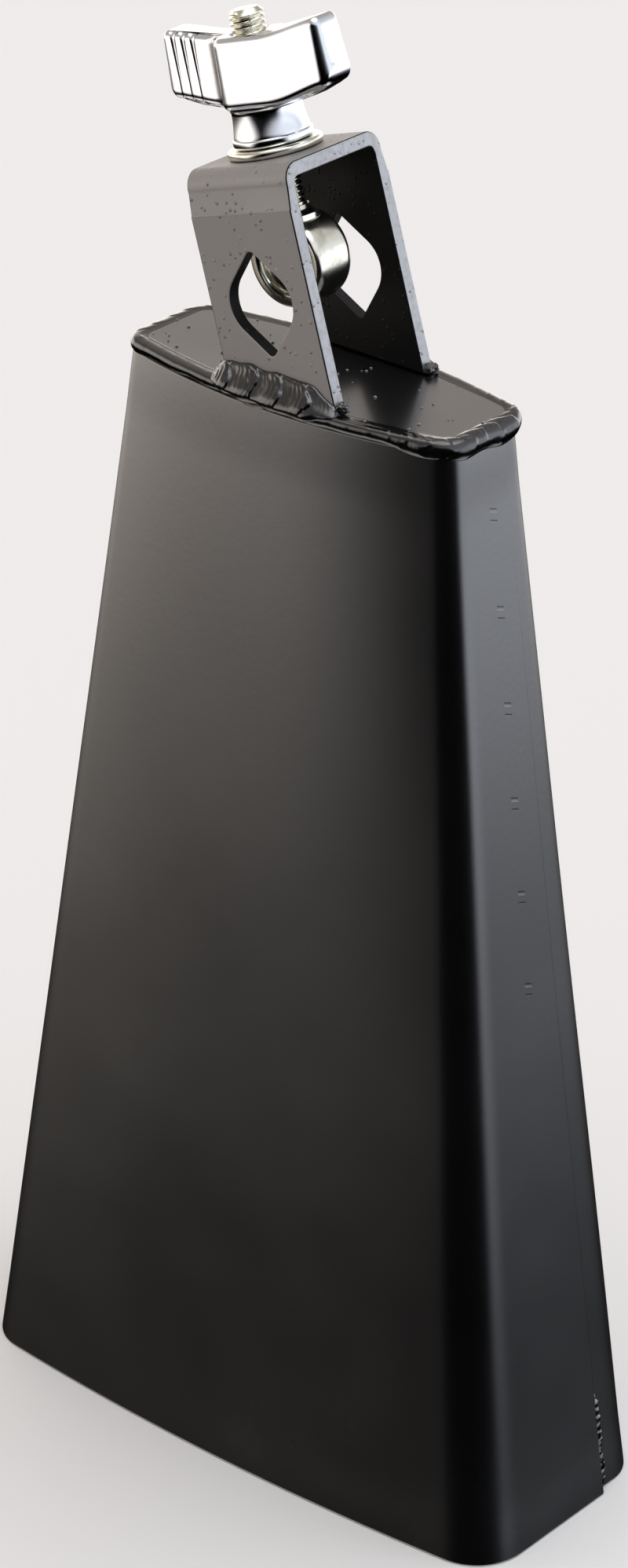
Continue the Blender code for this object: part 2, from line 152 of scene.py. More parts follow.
def makeWorld(setup):
    world = bpy.data.worlds.new("studio_surround")
    world.use_nodes = True
    world.cycles.sampling_method = "NONE"
    tree = world.node_tree
    output = tree.nodes["Background"]
    ray = addNode(tree, "ShaderNodeTexCoord").outputs["Generated"]
    parts = addNode(tree, "ShaderNodeSeparateXYZ", {0: ray})
    flat = addNode(tree, "ShaderNodeCombineXYZ", {0: parts, 1: parts.outputs[1]})
    level = addNode(tree, "ShaderNodeVectorMath", {0: flat}, operation="NORMALIZE")
    turn = math.radians(setup["darkTurn"])
    aim = Vector((math.sin(turn), -math.cos(turn), 0))
    facing = addNode(tree, "ShaderNodeVectorMath", {0: level, 1: aim}, operation="DOT_PRODUCT")
    splay = addNode(tree, "ShaderNodeMath", {
        0: parts.outputs[2], 1: -setup["darkSplay"], 2: setup["darkSplay"] * setup["darkSplayAt"]},
        operation="MULTIPLY_ADD")
    near = addNode(tree, "ShaderNodeMath", {0: facing.outputs["Value"], 1: splay}, operation="ADD")
    dark = addNode(tree, "ShaderNodeMapRange", {
        0: near, 1: math.cos(math.radians(setup["darkFrom"])),
        2: math.cos(math.radians(setup["darkTo"]))},
        interpolation_type="SMOOTHSTEP")
    below = addNode(tree, "ShaderNodeMapRange", {
        0: parts.outputs[2], 1: setup["darkFull"], 2: setup["darkTop"], 3: 1.0, 4: 0.0},
        interpolation_type="SMOOTHSTEP")
    both = addNode(tree, "ShaderNodeMath", {0: dark, 1: below}, operation="MULTIPLY")
    keep = addNode(tree, "ShaderNodeMapRange", {0: both, 3: 1.0, 4: 0.0})
    toRight = addNode(tree, "ShaderNodeMath", {0: parts, 1: 0.0}, operation="MAXIMUM")
    sunk = addNode(tree, "ShaderNodeMath", {
        0: toRight, 1: -setup["rightLift"], 2: parts.outputs[2]}, operation="MULTIPLY_ADD")
    height = addNode(tree, "ShaderNodeMapRange", {0: sunk, 1: -1.0, 2: 1.0})
    ramp = addNode(tree, "ShaderNodeValToRGB", {0: height})
    ramp.color_ramp.interpolation = "EASE"
    stops = ramp.color_ramp.elements
    while len(stops) < len(setup["levels"]):
        stops.new(0.5)
    for stop, (rise, shade) in zip(stops, setup["levels"]):
        stop.position = (rise + 1) / 2
        stop.color = (shade, shade, shade, 1)
    across = addNode(tree, "ShaderNodeMapRange", {0: parts, 1: -setup["tintWide"], 2: setup["tintWide"]})
    tint = addNode(tree, "ShaderNodeMix", {
        0: across, 6: hexLinear(setup["warm"]), 7: hexLinear(setup["cool"])}, data_type="RGBA")
    lit = addNode(tree, "ShaderNodeMix", {0: 1.0, 6: ramp, 7: tint.outputs[2]},
                  data_type="RGBA", blend_type="MULTIPLY")
    high = addNode(tree, "ShaderNodeMapRange", {
        0: parts.outputs[2], 1: setup["topFrom"], 2: setup["topTo"], 4: setup["rightTop"]},
        interpolation_type="SMOOTHSTEP")
    lamp = addNode(tree, "ShaderNodeMath", {
        0: high, 1: toRight, 2: 1.0}, operation="MULTIPLY_ADD")
    shown = addNode(tree, "ShaderNodeMath", {0: keep, 1: lamp}, operation="MULTIPLY")
    power = addNode(tree, "ShaderNodeMath", {0: shown, 1: setup["strength"]}, operation="MULTIPLY")
    tree.links.new(lit.outputs[2], output.inputs["Color"])
    tree.links.new(power.outputs[0], output.inputs["Strength"])
    scene.world = world


def makeFloor(setup):
    half = setup["floorSize"] / 2
    mesh = bpy.data.meshes.new("studio_floor")
    corners = [(-half, -half), (half, -half), (half, half), (-half, half)]
    mesh.from_pydata([(x, y, -setup["floorDrop"]) for x, y in corners], [], [(0, 1, 2, 3)])
    floor = bpy.data.objects.new("studio_floor", mesh)
    scene.collection.objects.link(floor)
    paper = bpy.data.materials.new("matt_paper")
    paper.use_nodes = True
    shader = paper.node_tree.nodes["Principled BSDF"]
    shader.inputs["Base Color"].default_value = hexLinear(setup["floorColour"])
    shader.inputs["Roughness"].default_value = 0.9
    shader.inputs["Specular IOR Level"].default_value = 0.1
    mesh.materials.append(paper)
    floor.visible_glossy = False  # the bell mirrors the surround, not the sheet it stands on


scene.view_settings.view_transform = "Standard"
makeCamera(cameraSetup)
makeWorld(studio)
makeFloor(studio)
print("camera and studio ready")

noiseLow, noiseHigh = 0.3, 0.7  # soft noise hardly leaves this range


def startFinish(name, colour, roughness, metallic, ior=1.5):
    finish = bpy.data.materials.new(name)
    finish.use_nodes = True
    tree = finish.node_tree
    shader = tree.nodes["Principled BSDF"]
    shader.inputs["Base Color"].default_value = hexLinear(colour)
    shader.inputs["Roughness"].default_value = roughness
    shader.inputs["Metallic"].default_value = metallic
    shader.inputs["IOR"].default_value = ior
    spot = addNode(tree, "ShaderNodeTexCoord").outputs["Object"]
    return finish, tree, shader, spot


def speckMask(tree, spot, spacing, radius, share):
    cells = addNode(tree, "ShaderNodeTexVoronoi", {"Vector": spot, "Scale": 1 / spacing})
    near = addNode(tree, "ShaderNodeMapRange", {
        0: cells.outputs["Distance"], 1: radius / spacing, 2: radius / spacing * 0.5, 3: 0.0, 4: 1.0})
    pick = addNode(tree, "ShaderNodeSeparateColor", {0: cells.outputs["Color"]})
    chosen = addNode(tree, "ShaderNodeMath", {0: pick, 1: share}, operation="LESS_THAN")
    return addNode(tree, "ShaderNodeMath", {0: near, 1: chosen}, operation="MULTIPLY")


# broad soft patches, a little rougher or smoother than the rest
def addPatches(tree, shader, spot, setup):
    middle, swing = setup["roughness"], setup["patchSwing"]
    patch = addNode(tree, "ShaderNodeTexNoise", {"Vector": spot, "Scale": 1 / setup["patch"], "Detail": 3.0})
    rough = addNode(tree, "ShaderNodeMapRange", {
        0: patch, 1: noiseLow, 2: noiseHigh, 3: middle - swing, 4: middle + swing})
    tree.links.new(rough.outputs[0], shader.inputs["Roughness"])


# satin powder coat: near black, softly mirrors the room, with a fine orange peel and bright dust in it
coat = {
    "colour": "050506", "dust": "8d8b88", "roughness": 0.25, "ior": 1.85,
    "flow": 1.0, "flowRoughness": 0.17, "flowIor": 1.6,  # the resin-rich skin of the coat
    "peel": 1.1 * mm, "peelDepth": 0.005 * mm, "patch": 38 * mm, "patchSwing": 0.03,
    "dustSpacing": 7 * mm, "dustRadius": 0.15 * mm, "dustShare": 0.25, "dustRise": 3.0,
    # faint pairs of short press marks up the middle of the right narrow side
    "markStep": 17 * mm, "markGap": 1.0 * mm, "markWide": 0.4 * mm, "markReach": 0.9 * mm,
    "markSlant": 0.35, "markFrom": 96 * mm, "markTo": 196 * mm, "markSide": 20 * mm, "markDepth": 2.6,
}


def pressMarks(tree, spot, setup):
    gap, wide = setup["markGap"], setup["markWide"]
    parts = addNode(tree, "ShaderNodeSeparateXYZ", {0: spot})
    x, y, z = parts.outputs
    tilted = addNode(tree, "ShaderNodeMath", {0: y, 1: setup["markSlant"], 2: z}, operation="MULTIPLY_ADD")
    place = addNode(tree, "ShaderNodeMath", {0: tilted, 1: setup["markStep"]}, operation="FLOORED_MODULO")
    pair = addNode(tree, "ShaderNodeMath", {0: place, 1: gap}, operation="PINGPONG")
    line = addNode(tree, "ShaderNodeMapRange", {0: pair, 1: wide, 2: wide * 0.4, 3: 0.0, 4: 1.0})
    sideways = addNode(tree, "ShaderNodeMath", {0: y}, operation="ABSOLUTE")
    limits = ((place, "LESS_THAN", gap * 2.5), (sideways, "LESS_THAN", setup["markReach"]),
              (x, "GREATER_THAN", setup["markSide"]),
              (z, "GREATER_THAN", setup["markFrom"]), (z, "LESS_THAN", setup["markTo"]))
    for value, compare, limit in limits:
        inside = addNode(tree, "ShaderNodeMath", {0: value, 1: limit}, operation=compare)
        line = addNode(tree, "ShaderNodeMath", {0: line, 1: inside}, operation="MULTIPLY")
    return line


def makeCoat(name, setup):
    finish, tree, shader, spot = startFinish(name, setup["colour"], setup["roughness"], 0.0, setup["ior"])
    shader.inputs["Coat Weight"].default_value = setup["flow"]
    shader.inputs["Coat Roughness"].default_value = setup["flowRoughness"]
    shader.inputs["Coat IOR"].default_value = setup["flowIor"]
    dust = speckMask(tree, spot, setup["dustSpacing"], setup["dustRadius"], setup["dustShare"])
    colour = addNode(tree, "ShaderNodeMix", {
        0: dust, 6: hexLinear(setup["colour"]), 7: hexLinear(setup["dust"])}, data_type="RGBA")
    tree.links.new(colour.outputs[2], shader.inputs["Base Color"])
    addPatches(tree, shader, spot, setup)
    peel = addNode(tree, "ShaderNodeTexNoise", {"Vector": spot, "Scale": 1 / setup["peel"], "Detail": 2.0})
    dusty = addNode(tree, "ShaderNodeMath", {
        0: dust, 1: setup["dustRise"], 2: peel}, operation="MULTIPLY_ADD")
    marks = pressMarks(tree, spot, setup)
    lift = addNode(tree, "ShaderNodeMath", {
        0: marks, 1: -setup["markDepth"], 2: dusty}, operation="MULTIPLY_ADD")
    bump = addNode(tree, "ShaderNodeBump", {"Height": lift, "Distance": setup["peelDepth"]})
    tree.links.new(bump.outputs[0], shader.inputs["Normal"])
    tree.links.new(bump.outputs[0], shader.inputs["Coat Normal"])
    return finish


# the same coat over weld metal flows smoother, so it is glossier
weldCoat = dict(coat, colour="060607", roughness=0.16, ior=1.55, flow=0.6, flowRoughness=0.1, flowIor=1.5,
                peel=0.8 * mm, dustSpacing=4 * mm)

# the coat on the clamp strip is rougher and greyer, with pits darkened in colour as painted shade, light
# specks painted as highlights, and its sheared edges show worn metal between thin black lines, which are
# painted shade: the near-black inside copy of the coat on the eased edges
stripCoat = {
    "colour": "726e6b", "edge": "a4a5a7", "roughness": 0.48, "ior": 1.9,
    "peel": 0.7 * mm, "peelDepth": 0.02 * mm, "patch": 9 * mm, "patchSwing": 0.04,
    "pitSpacing": 1.1 * mm, "pitRadius": 0.36 * mm, "pitShare": 0.4, "pitDepth": 9.0,
    "pitPatch": 7 * mm, "pitFrom": 0.42, "pitTo": 0.55,  # pits come where this noise is high
    "grain": 0.9 * mm, "grainTo": 0.55, "leastBare": 0.6, "bareMetal": 0.8,  # wear of the cut edges
    # the dark pit colour is painted shade, and the light speck colour is a painted highlight standing in for
    # lit pit rims
    "paintedPitShade": "5f5b58", "paintedGlint": "b9b5af", "glintSpacing": 2.3 * mm, "glintRadius": 0.2 * mm, "glintShare": 0.3,
}


def makeStripCoat(name, setup):
    finish, tree, shader, spot = startFinish(name, setup["colour"], setup["roughness"], 0.0, setup["ior"])
    pits = speckMask(tree, spot, setup["pitSpacing"], setup["pitRadius"], setup["pitShare"])
    area = addNode(tree, "ShaderNodeTexNoise", {"Vector": spot, "Scale": 1 / setup["pitPatch"]})
    where = addNode(tree, "ShaderNodeMapRange", {0: area, 1: setup["pitFrom"], 2: setup["pitTo"]})
    pitted = addNode(tree, "ShaderNodeMath", {0: pits, 1: where}, operation="MULTIPLY")
    edge = addNode(tree, "ShaderNodeAttribute", attribute_name="cutEdge").outputs["Fac"]
    grain = addNode(tree, "ShaderNodeTexNoise", {"Vector": spot, "Scale": 1 / setup["grain"], "Detail": 3.0})
    worn = addNode(tree, "ShaderNodeMapRange", {
        0: grain, 1: noiseLow, 2: setup["grainTo"], 3: setup["leastBare"], 4: 1.0})
    bare = addNode(tree, "ShaderNodeMath", {0: edge, 1: worn}, operation="MULTIPLY")
    # light specks, a painted highlight standing in for lit pit rims
    glintSpecks = speckMask(tree, spot, setup["glintSpacing"], setup["glintRadius"], setup["glintShare"])
    # the pits are darkened in colour: painted shade
    paintedPitShade = addNode(tree, "ShaderNodeMix", {
        0: pitted, 6: hexLinear(setup["colour"]), 7: hexLinear(setup["paintedPitShade"])}, data_type="RGBA")
    withGlints = addNode(tree, "ShaderNodeMix", {
        0: glintSpecks, 6: paintedPitShade.outputs[2], 7: hexLinear(setup["paintedGlint"])}, data_type="RGBA")
    colour = addNode(tree, "ShaderNodeMix", {
        0: bare, 6: withGlints.outputs[2], 7: hexLinear(setup["edge"])}, data_type="RGBA")
    tree.links.new(colour.outputs[2], shader.inputs["Base Color"])
    shine = addNode(tree, "ShaderNodeMath", {0: bare, 1: setup["bareMetal"]}, operation="MULTIPLY")
    tree.links.new(shine.outputs[0], shader.inputs["Metallic"])
    addPatches(tree, shader, spot, setup)
    peel = addNode(tree, "ShaderNodeTexNoise", {"Vector": spot, "Scale": 1 / setup["peel"], "Detail": 2.0})
    lift = addNode(tree, "ShaderNodeMath", {
        0: pitted, 1: setup["pitDepth"], 2: peel}, operation="MULTIPLY_ADD")
    bump = addNode(tree, "ShaderNodeBump", {"Height": lift, "Distance": setup["peelDepth"]})
    tree.links.new(bump.outputs[0], shader.inputs["Normal"])
    return finish


# inside the strip, in its holes and on the eased strips beside its cut edges the coat is a near-black copy of
# the strip's coat: painted shade, flat black, with hardly a highlight
shadedStripCoat = dict(stripCoat, colour="050505", edge="050505", roughness=0.55, ior=1.3,
               paintedPitShade="050505", paintedGlint="2a2a2a")

# bright zinc plate: silvery with a little yellow, small bright and dull clouds
zinc = {
    "colour": "e0ddd0", "dull": "bdb9a8", "roughness": 0.17,
    "smoothest": 0.8, "roughest": 1.5,  # shares of the roughness
    "dullFrom": 0.4, "dullTo": 0.75, "roughTo": 0.8,  # values of the cloud noise
    "cloud": 2.5 * mm, "grain": 0.25 * mm, "grainDepth": 0.004 * mm,
}

# polished chrome over a die casting: a clean mirror with a faint cast ripple
chrome = dict(zinc, colour="dfe1e4", dull="d3d6d9", roughness=0.12, cloud=5 * mm, grain=2.2 * mm,
              grainDepth=0.006 * mm)


def makePlate(name, setup):
    finish, tree, shader, spot = startFinish(name, setup["colour"], setup["roughness"], 1.0)
    cloud = addNode(tree, "ShaderNodeTexNoise", {"Vector": spot, "Scale": 1 / setup["cloud"], "Detail": 4.0})
    share = addNode(tree, "ShaderNodeMapRange", {0: cloud, 1: setup["dullFrom"], 2: setup["dullTo"]})
    colour = addNode(tree, "ShaderNodeMix", {
        0: share, 6: hexLinear(setup["colour"]), 7: hexLinear(setup["dull"])}, data_type="RGBA")
    tree.links.new(colour.outputs[2], shader.inputs["Base Color"])
    middle = setup["roughness"]
    rough = addNode(tree, "ShaderNodeMapRange", {
        0: cloud, 1: noiseLow, 2: setup["roughTo"],
        3: middle * setup["smoothest"], 4: middle * setup["roughest"]})
    tree.links.new(rough.outputs[0], shader.inputs["Roughness"])
    grain = addNode(tree, "ShaderNodeTexNoise", {"Vector": spot, "Scale": 1 / setup["grain"], "Detail": 2.0})
    bump = addNode(tree, "ShaderNodeBump", {"Height": grain, "Distance": setup["grainDepth"]})
    tree.links.new(bump.outputs[0], shader.inputs["Normal"])
    return finish


blackPowderCoat = makeCoat("satin_black_powder_coat", coat)
coatedWeld = makeCoat("glossy_coat_on_weld", weldCoat)
wornStripCoat = makeStripCoat("worn_powder_coat_on_strip", stripCoat)
# the strip's coat again in near black for its inner faces, hole walls and eased edges: painted shade
paintedShadeInnerCoat = makeStripCoat("painted_shade_coat_inside_strip", shadedStripCoat)
brightZinc = makePlate("bright_zinc_plate", zinc)
polishedChrome = makePlate("polished_chrome_plate", chrome)
print("finishes ready")


# marks are point attributes: their kind, the field that holds a value, and the values
def meshObject(name, points, faces, finish=None, smoothAngle=40, marks=None):
    mesh = bpy.data.meshes.new(name)
    mesh.from_pydata(points, [], faces)
    for label, (kind, field, values) in (marks or {}).items():
        mesh.attributes.new(label, kind, "POINT").data.foreach_set(field, values)
    work = bmesh.new()
    work.from_mesh(mesh)
    bmesh.ops.remove_doubles(work, verts=work.verts, dist=0.001 * mm)
    bmesh.ops.recalc_face_normals(work, faces=work.faces)
    work.to_mesh(mesh)
    work.free()
    mesh.shade_smooth()
    if smoothAngle:
        mesh.set_sharp_from_angle(angle=math.radians(smoothAngle))
    if finish:
        mesh.materials.append(finish)
    obj = bpy.data.objects.new(name, mesh)
    scene.collection.objects.link(obj)
    return obj


def startTree(name, sizes, counts=()):
    tree = bpy.data.node_groups.new(name, "GeometryNodeTree")
    panel = tree.interface
    panel.new_socket("Geometry", in_out="INPUT", socket_type="NodeSocketGeometry")
    for label in sizes:
        panel.new_socket(label, in_out="INPUT", socket_type="NodeSocketFloat")
    for label in counts:
        panel.new_socket(label, in_out="INPUT", socket_type="NodeSocketInt")
    panel.new_socket("Finish", in_out="INPUT", socket_type="NodeSocketMaterial")
    panel.new_socket("Geometry", in_out="OUTPUT", socket_type="NodeSocketGeometry")
    return tree, addNode(tree, "NodeGroupInput").outputs


def endTree(tree, geometry, given):
    real = addNode(tree, "GeometryNodeRealizeInstances", {0: geometry})
    painted = addNode(tree, "GeometryNodeSetMaterial", {"Geometry": real, "Material": given["Finish"]})
    addNode(tree, "NodeGroupOutput", {"Geometry": painted})
    return tree


def socketId(tree, name):
    return next(s.identifier for s in tree.interface.items_tree if s.name == name and s.in_out == "INPUT")


def addTree(obj, tree, values):
    step = obj.modifiers.new(tree.name, "NODES")
    step.node_group = tree
    for name, value in values.items():
        step[socketId(tree, name)] = value


def settle(obj, place=None):
    bpy.context.view_layer.update()
    graph = bpy.context.evaluated_depsgraph_get()
    mesh = bpy.data.meshes.new_from_object(obj.evaluated_get(graph))
    mesh.name = obj.name
    obj.modifiers.clear()
    obj.data = mesh
    if place:
        mesh.transform(place)
    return obj


def finishPiece(obj, node, body):
    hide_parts(node)
    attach(obj, body)
    print(obj.name, "has", len(obj.data.polygons), "faces")


def bevelEdges(obj, width, angle=50, segments=3):
    step = obj.modifiers.new("eased_edges", "BEVEL")
    step.width = width
    step.segments = segments
    step.limit_method = "ANGLE"
    step.angle_limit = math.radians(angle)
    step.use_clamp_overlap = True


def arc(centre, radius, start, end, steps, tall=None):
    tall = tall or radius
    angles = [math.radians(mix(start, end, i / steps)) for i in range(steps + 1)]
    return [(centre[0] + radius * math.cos(a), centre[1] + tall * math.sin(a)) for a in angles]


def ringFaces(rings, count, closedRings=True, closedPath=False):
    faces = []
    span = count if closedRings else count - 1
    for i in range(rings if closedPath else rings - 1):
        here, there = i * count, (i + 1) % rings * count
        for j in range(span):
            k = (j + 1) % count
            faces.append((here + j, here + k, there + k, there + j))
    return faces


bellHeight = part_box("top_cap")[1].z
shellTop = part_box("front_shell")[1].z
body = {
    "mouthCorner": 10.2 * mm, "crownCorner": 4.6 * mm,
    "mouthBow": 2.5 * mm, "crownBow": 4.0 * mm,
    "sheet": 1.2 * mm, "lapStep": 1.4 * mm, "lapLength": 5 * mm,
    "seamAtMouth": 10.6 * mm, "seamAtCrown": 4.2 * mm,
    "rows": 120, "cornerSteps": 14, "faceSteps": 64, "flangeSteps": 10,
    "edgeEase": 0.3 * mm,
    "wave": 70 * mm, "waveDepth": 0.22 * mm, "rimCalm": 12 * mm,  # the sheet is truer near its rims
    "creaseAt": -0.14, "creaseSlope": 0.009, "creaseSoft": 2.5 * mm,  # share of the half width, and its fold
    "creaseFrom": 0.15, "creaseTo": 0.7,  # it comes in over these shares of the height
}


def crownHalf():
    top = [v.co for v in frame["nodes"]["front_shell"].data.vertices if v.co.z > shellTop - 0.1 * mm]
    share = bellHeight / shellTop
    wide = max(p.x for p in top)
    deep = -min(p.y for p in top)
    mouthDeep = -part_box("front_shell")[0].y
    return mix(cadHigh.x, wide, share), mix(mouthDeep, deep, share)


crownX, crownY = crownHalf()


def wallSizes(height):
    share = height / bellHeight
    corner = mix(body["mouthCorner"], body["crownCorner"], share)
    bow = mix(body["mouthBow"], body["crownBow"], share)
    coreX = mix(cadHigh.x, crownX, share) - corner
    coreY = mix(-cadLow.y, crownY, share) - corner - bow
    return coreX, coreY, corner, bow


def seamY(height):
    return mix(body["seamAtMouth"], body["seamAtCrown"], height / bellHeight)


def halfWall(height, inset, sideEnd, extra=0.0):
    coreX, coreY, corner, bow = wallSizes(height)
    coreY += extra
    radius = corner - inset
    bowRadius = (coreX**2 + bow**2) / (2 * bow)
    swing = math.degrees(math.asin(coreX / bowRadius))
    centre = (0, -coreY - bow + bowRadius)
    right = arc((coreX, -coreY), radius, -90 + swing, 0, body["cornerSteps"])
    face = arc(centre, bowRadius + radius, -90 - swing, -90 + swing, body["faceSteps"])
    left = [(-x, y) for x, y in reversed(right)]
    ends = coreX + radius
    steps = body["flangeSteps"]
    rise = [(ends, mix(-coreY, sideEnd, i / steps)) for i in range(1, steps + 1)]
    fall = [(-x, y) for x, y in reversed(rise)]
    return fall + left + face[1:-1] + right + rise


# the press left a soft upright crease in each big face, strongest towards the crown
def creased(x, y, height):
    coreX, coreY, corner, bow = wallSizes(height)
    away = math.hypot(x - body["creaseAt"] * coreX, body["creaseSoft"]) - body["creaseSoft"]
    fold = away * body["creaseSlope"] * smooth(body["creaseFrom"], body["creaseTo"], height / bellHeight)
    return y * (1 - fold / (coreY + corner + bow))


def makeShell(name, node, outline):
    points = []
    rows, calm = body["rows"], body["rimCalm"]
    for i in range(rows + 1):
        height = mix(0, shellTop, i / rows)
        for inset in (0.0, body["sheet"]):
            for x, y in outline(height, inset):
                middle = Vector((x, creased(x, y, height), height))
                dip = 0.5 + 0.5 * noise.noise(middle / body["wave"])
                inward = Vector((-x, -y * 2, 0)).normalized() * dip * body["waveDepth"]
                rim = smooth(0, calm, height) * smooth(shellTop, shellTop - calm, height)
                points.append(middle + inward * rim)
    count = len(outline(0, 0))
    faces = []
    step = 2 * count
    for i in range(rows):
        outer = i * step
        inner = outer + count
        for j in range(count - 1):
            faces.append((outer + j, outer + j + 1, outer + j + 1 + step, outer + j + step))
            faces.append((inner + j, inner + j + step, inner + j + 1 + step, inner + j + 1))
        for j in (0, count - 1):
            faces.append((outer + j, outer + j + step, inner + j + step, inner + j))
    for outer in (0, rows * step):
        for j in range(count - 1):
            faces.append((outer + j, outer + j + 1, outer + count + j + 1, outer + count + j))
    obj = meshObject(name, points, faces, blackPowderCoat)
    bevelEdges(obj, body["edgeEase"])
    finishPiece(settle(obj), node, "bell")


def frontOutline(height, inset):
    return halfWall(height, inset, seamY(height))


def rearOutline(height, inset):
    line = halfWall(height, body["lapStep"] + inset, body["lapLength"] - seamY(height), body["lapStep"])
    return [(-x, -y) for x, y in line]


makeShell("front_sheet", "front_shell", frontOutline)
makeShell("rear_sheet", "rear_shell", rearOutline)


def fullWall(height, inset):
    front = halfWall(height, inset, 0.0)
    return front + [(-x, -y) for x, y in front[1:-1]]


# the plate sinks a little unevenly towards its middle
plate = {
    "inset": 1.6 * mm, "rings": 14, "sink": 0.15 * mm, "wave": 14 * mm,
    "middle": 0.02, "rimLess": 0.6,  # smallest ring's share, and how much less it sinks at the rim
}

# beads of weld metal that landed on the crown, per square metre and in metres
spatter = {"Density": 30000.0, "Smallest": 0.13 * mm, "Largest": 0.36 * mm, "Seed": 7}
facingUp = 0.9  # they lie only where a face's normal points up at least this much


def spatterTree():
    tree, given = startTree("weld_spatter", ("Density", "Smallest", "Largest"), ("Seed",))
    out = addNode(tree, "GeometryNodeInputNormal")
    parts = addNode(tree, "ShaderNodeSeparateXYZ", {0: out})
    upper = addNode(tree, "ShaderNodeMath", {0: parts.outputs[2], 1: facingUp}, operation="GREATER_THAN")
    drops = addNode(tree, "GeometryNodeDistributePointsOnFaces", {
        "Mesh": given["Geometry"], "Selection": upper, "Density": given["Density"], "Seed": given["Seed"]})
    size = addNode(tree, "FunctionNodeRandomValue", {2: given["Smallest"], 3: given["Largest"]})
    ball = addNode(tree, "GeometryNodeMeshIcoSphere", {"Radius": 1.0, "Subdivisions": 2})
    laid = addNode(tree, "GeometryNodeInstanceOnPoints", {
        "Points": drops, "Instance": ball, "Scale": size.outputs[1]})
    both = addNode(tree, "GeometryNodeJoinGeometry", {0: given["Geometry"]})
    tree.links.new(laid.outputs[0], both.inputs[0])
    return endTree(tree, both, given)


def makePlateTop():
    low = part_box("top_cap")[0].z
    outline = fullWall(bellHeight, plate["inset"])
    count = len(outline)
    points, rings = [], plate["rings"]
    for z in (low, bellHeight):
        for i in range(rings):
            share = i / rings if z == low else 1 - i / rings
            for x, y in outline:
                reach = max(share, plate["middle"])
                spot = Vector((x * reach, y * reach, z))
                dip = plate["sink"] * (0.5 + 0.5 * noise.noise(spot / plate["wave"])) if z > low else 0
                points.append(spot - Vector((0, 0, dip * (1 - share * plate["rimLess"]))))
        if z == low:
            points += [Vector((x, y, z)) for x, y in outline]
    total = 2 * rings + 1
    faces = ringFaces(total, count)
    faces += [tuple(range(count)), tuple(range((total - 1) * count, total * count))]
    obj = meshObject("crown_plate", points, faces)
    addTree(obj, spatterTree(), dict(spatter, Finish=blackPowderCoat))
    finishPiece(settle(obj), "top_cap", "bell")


makePlateTop()


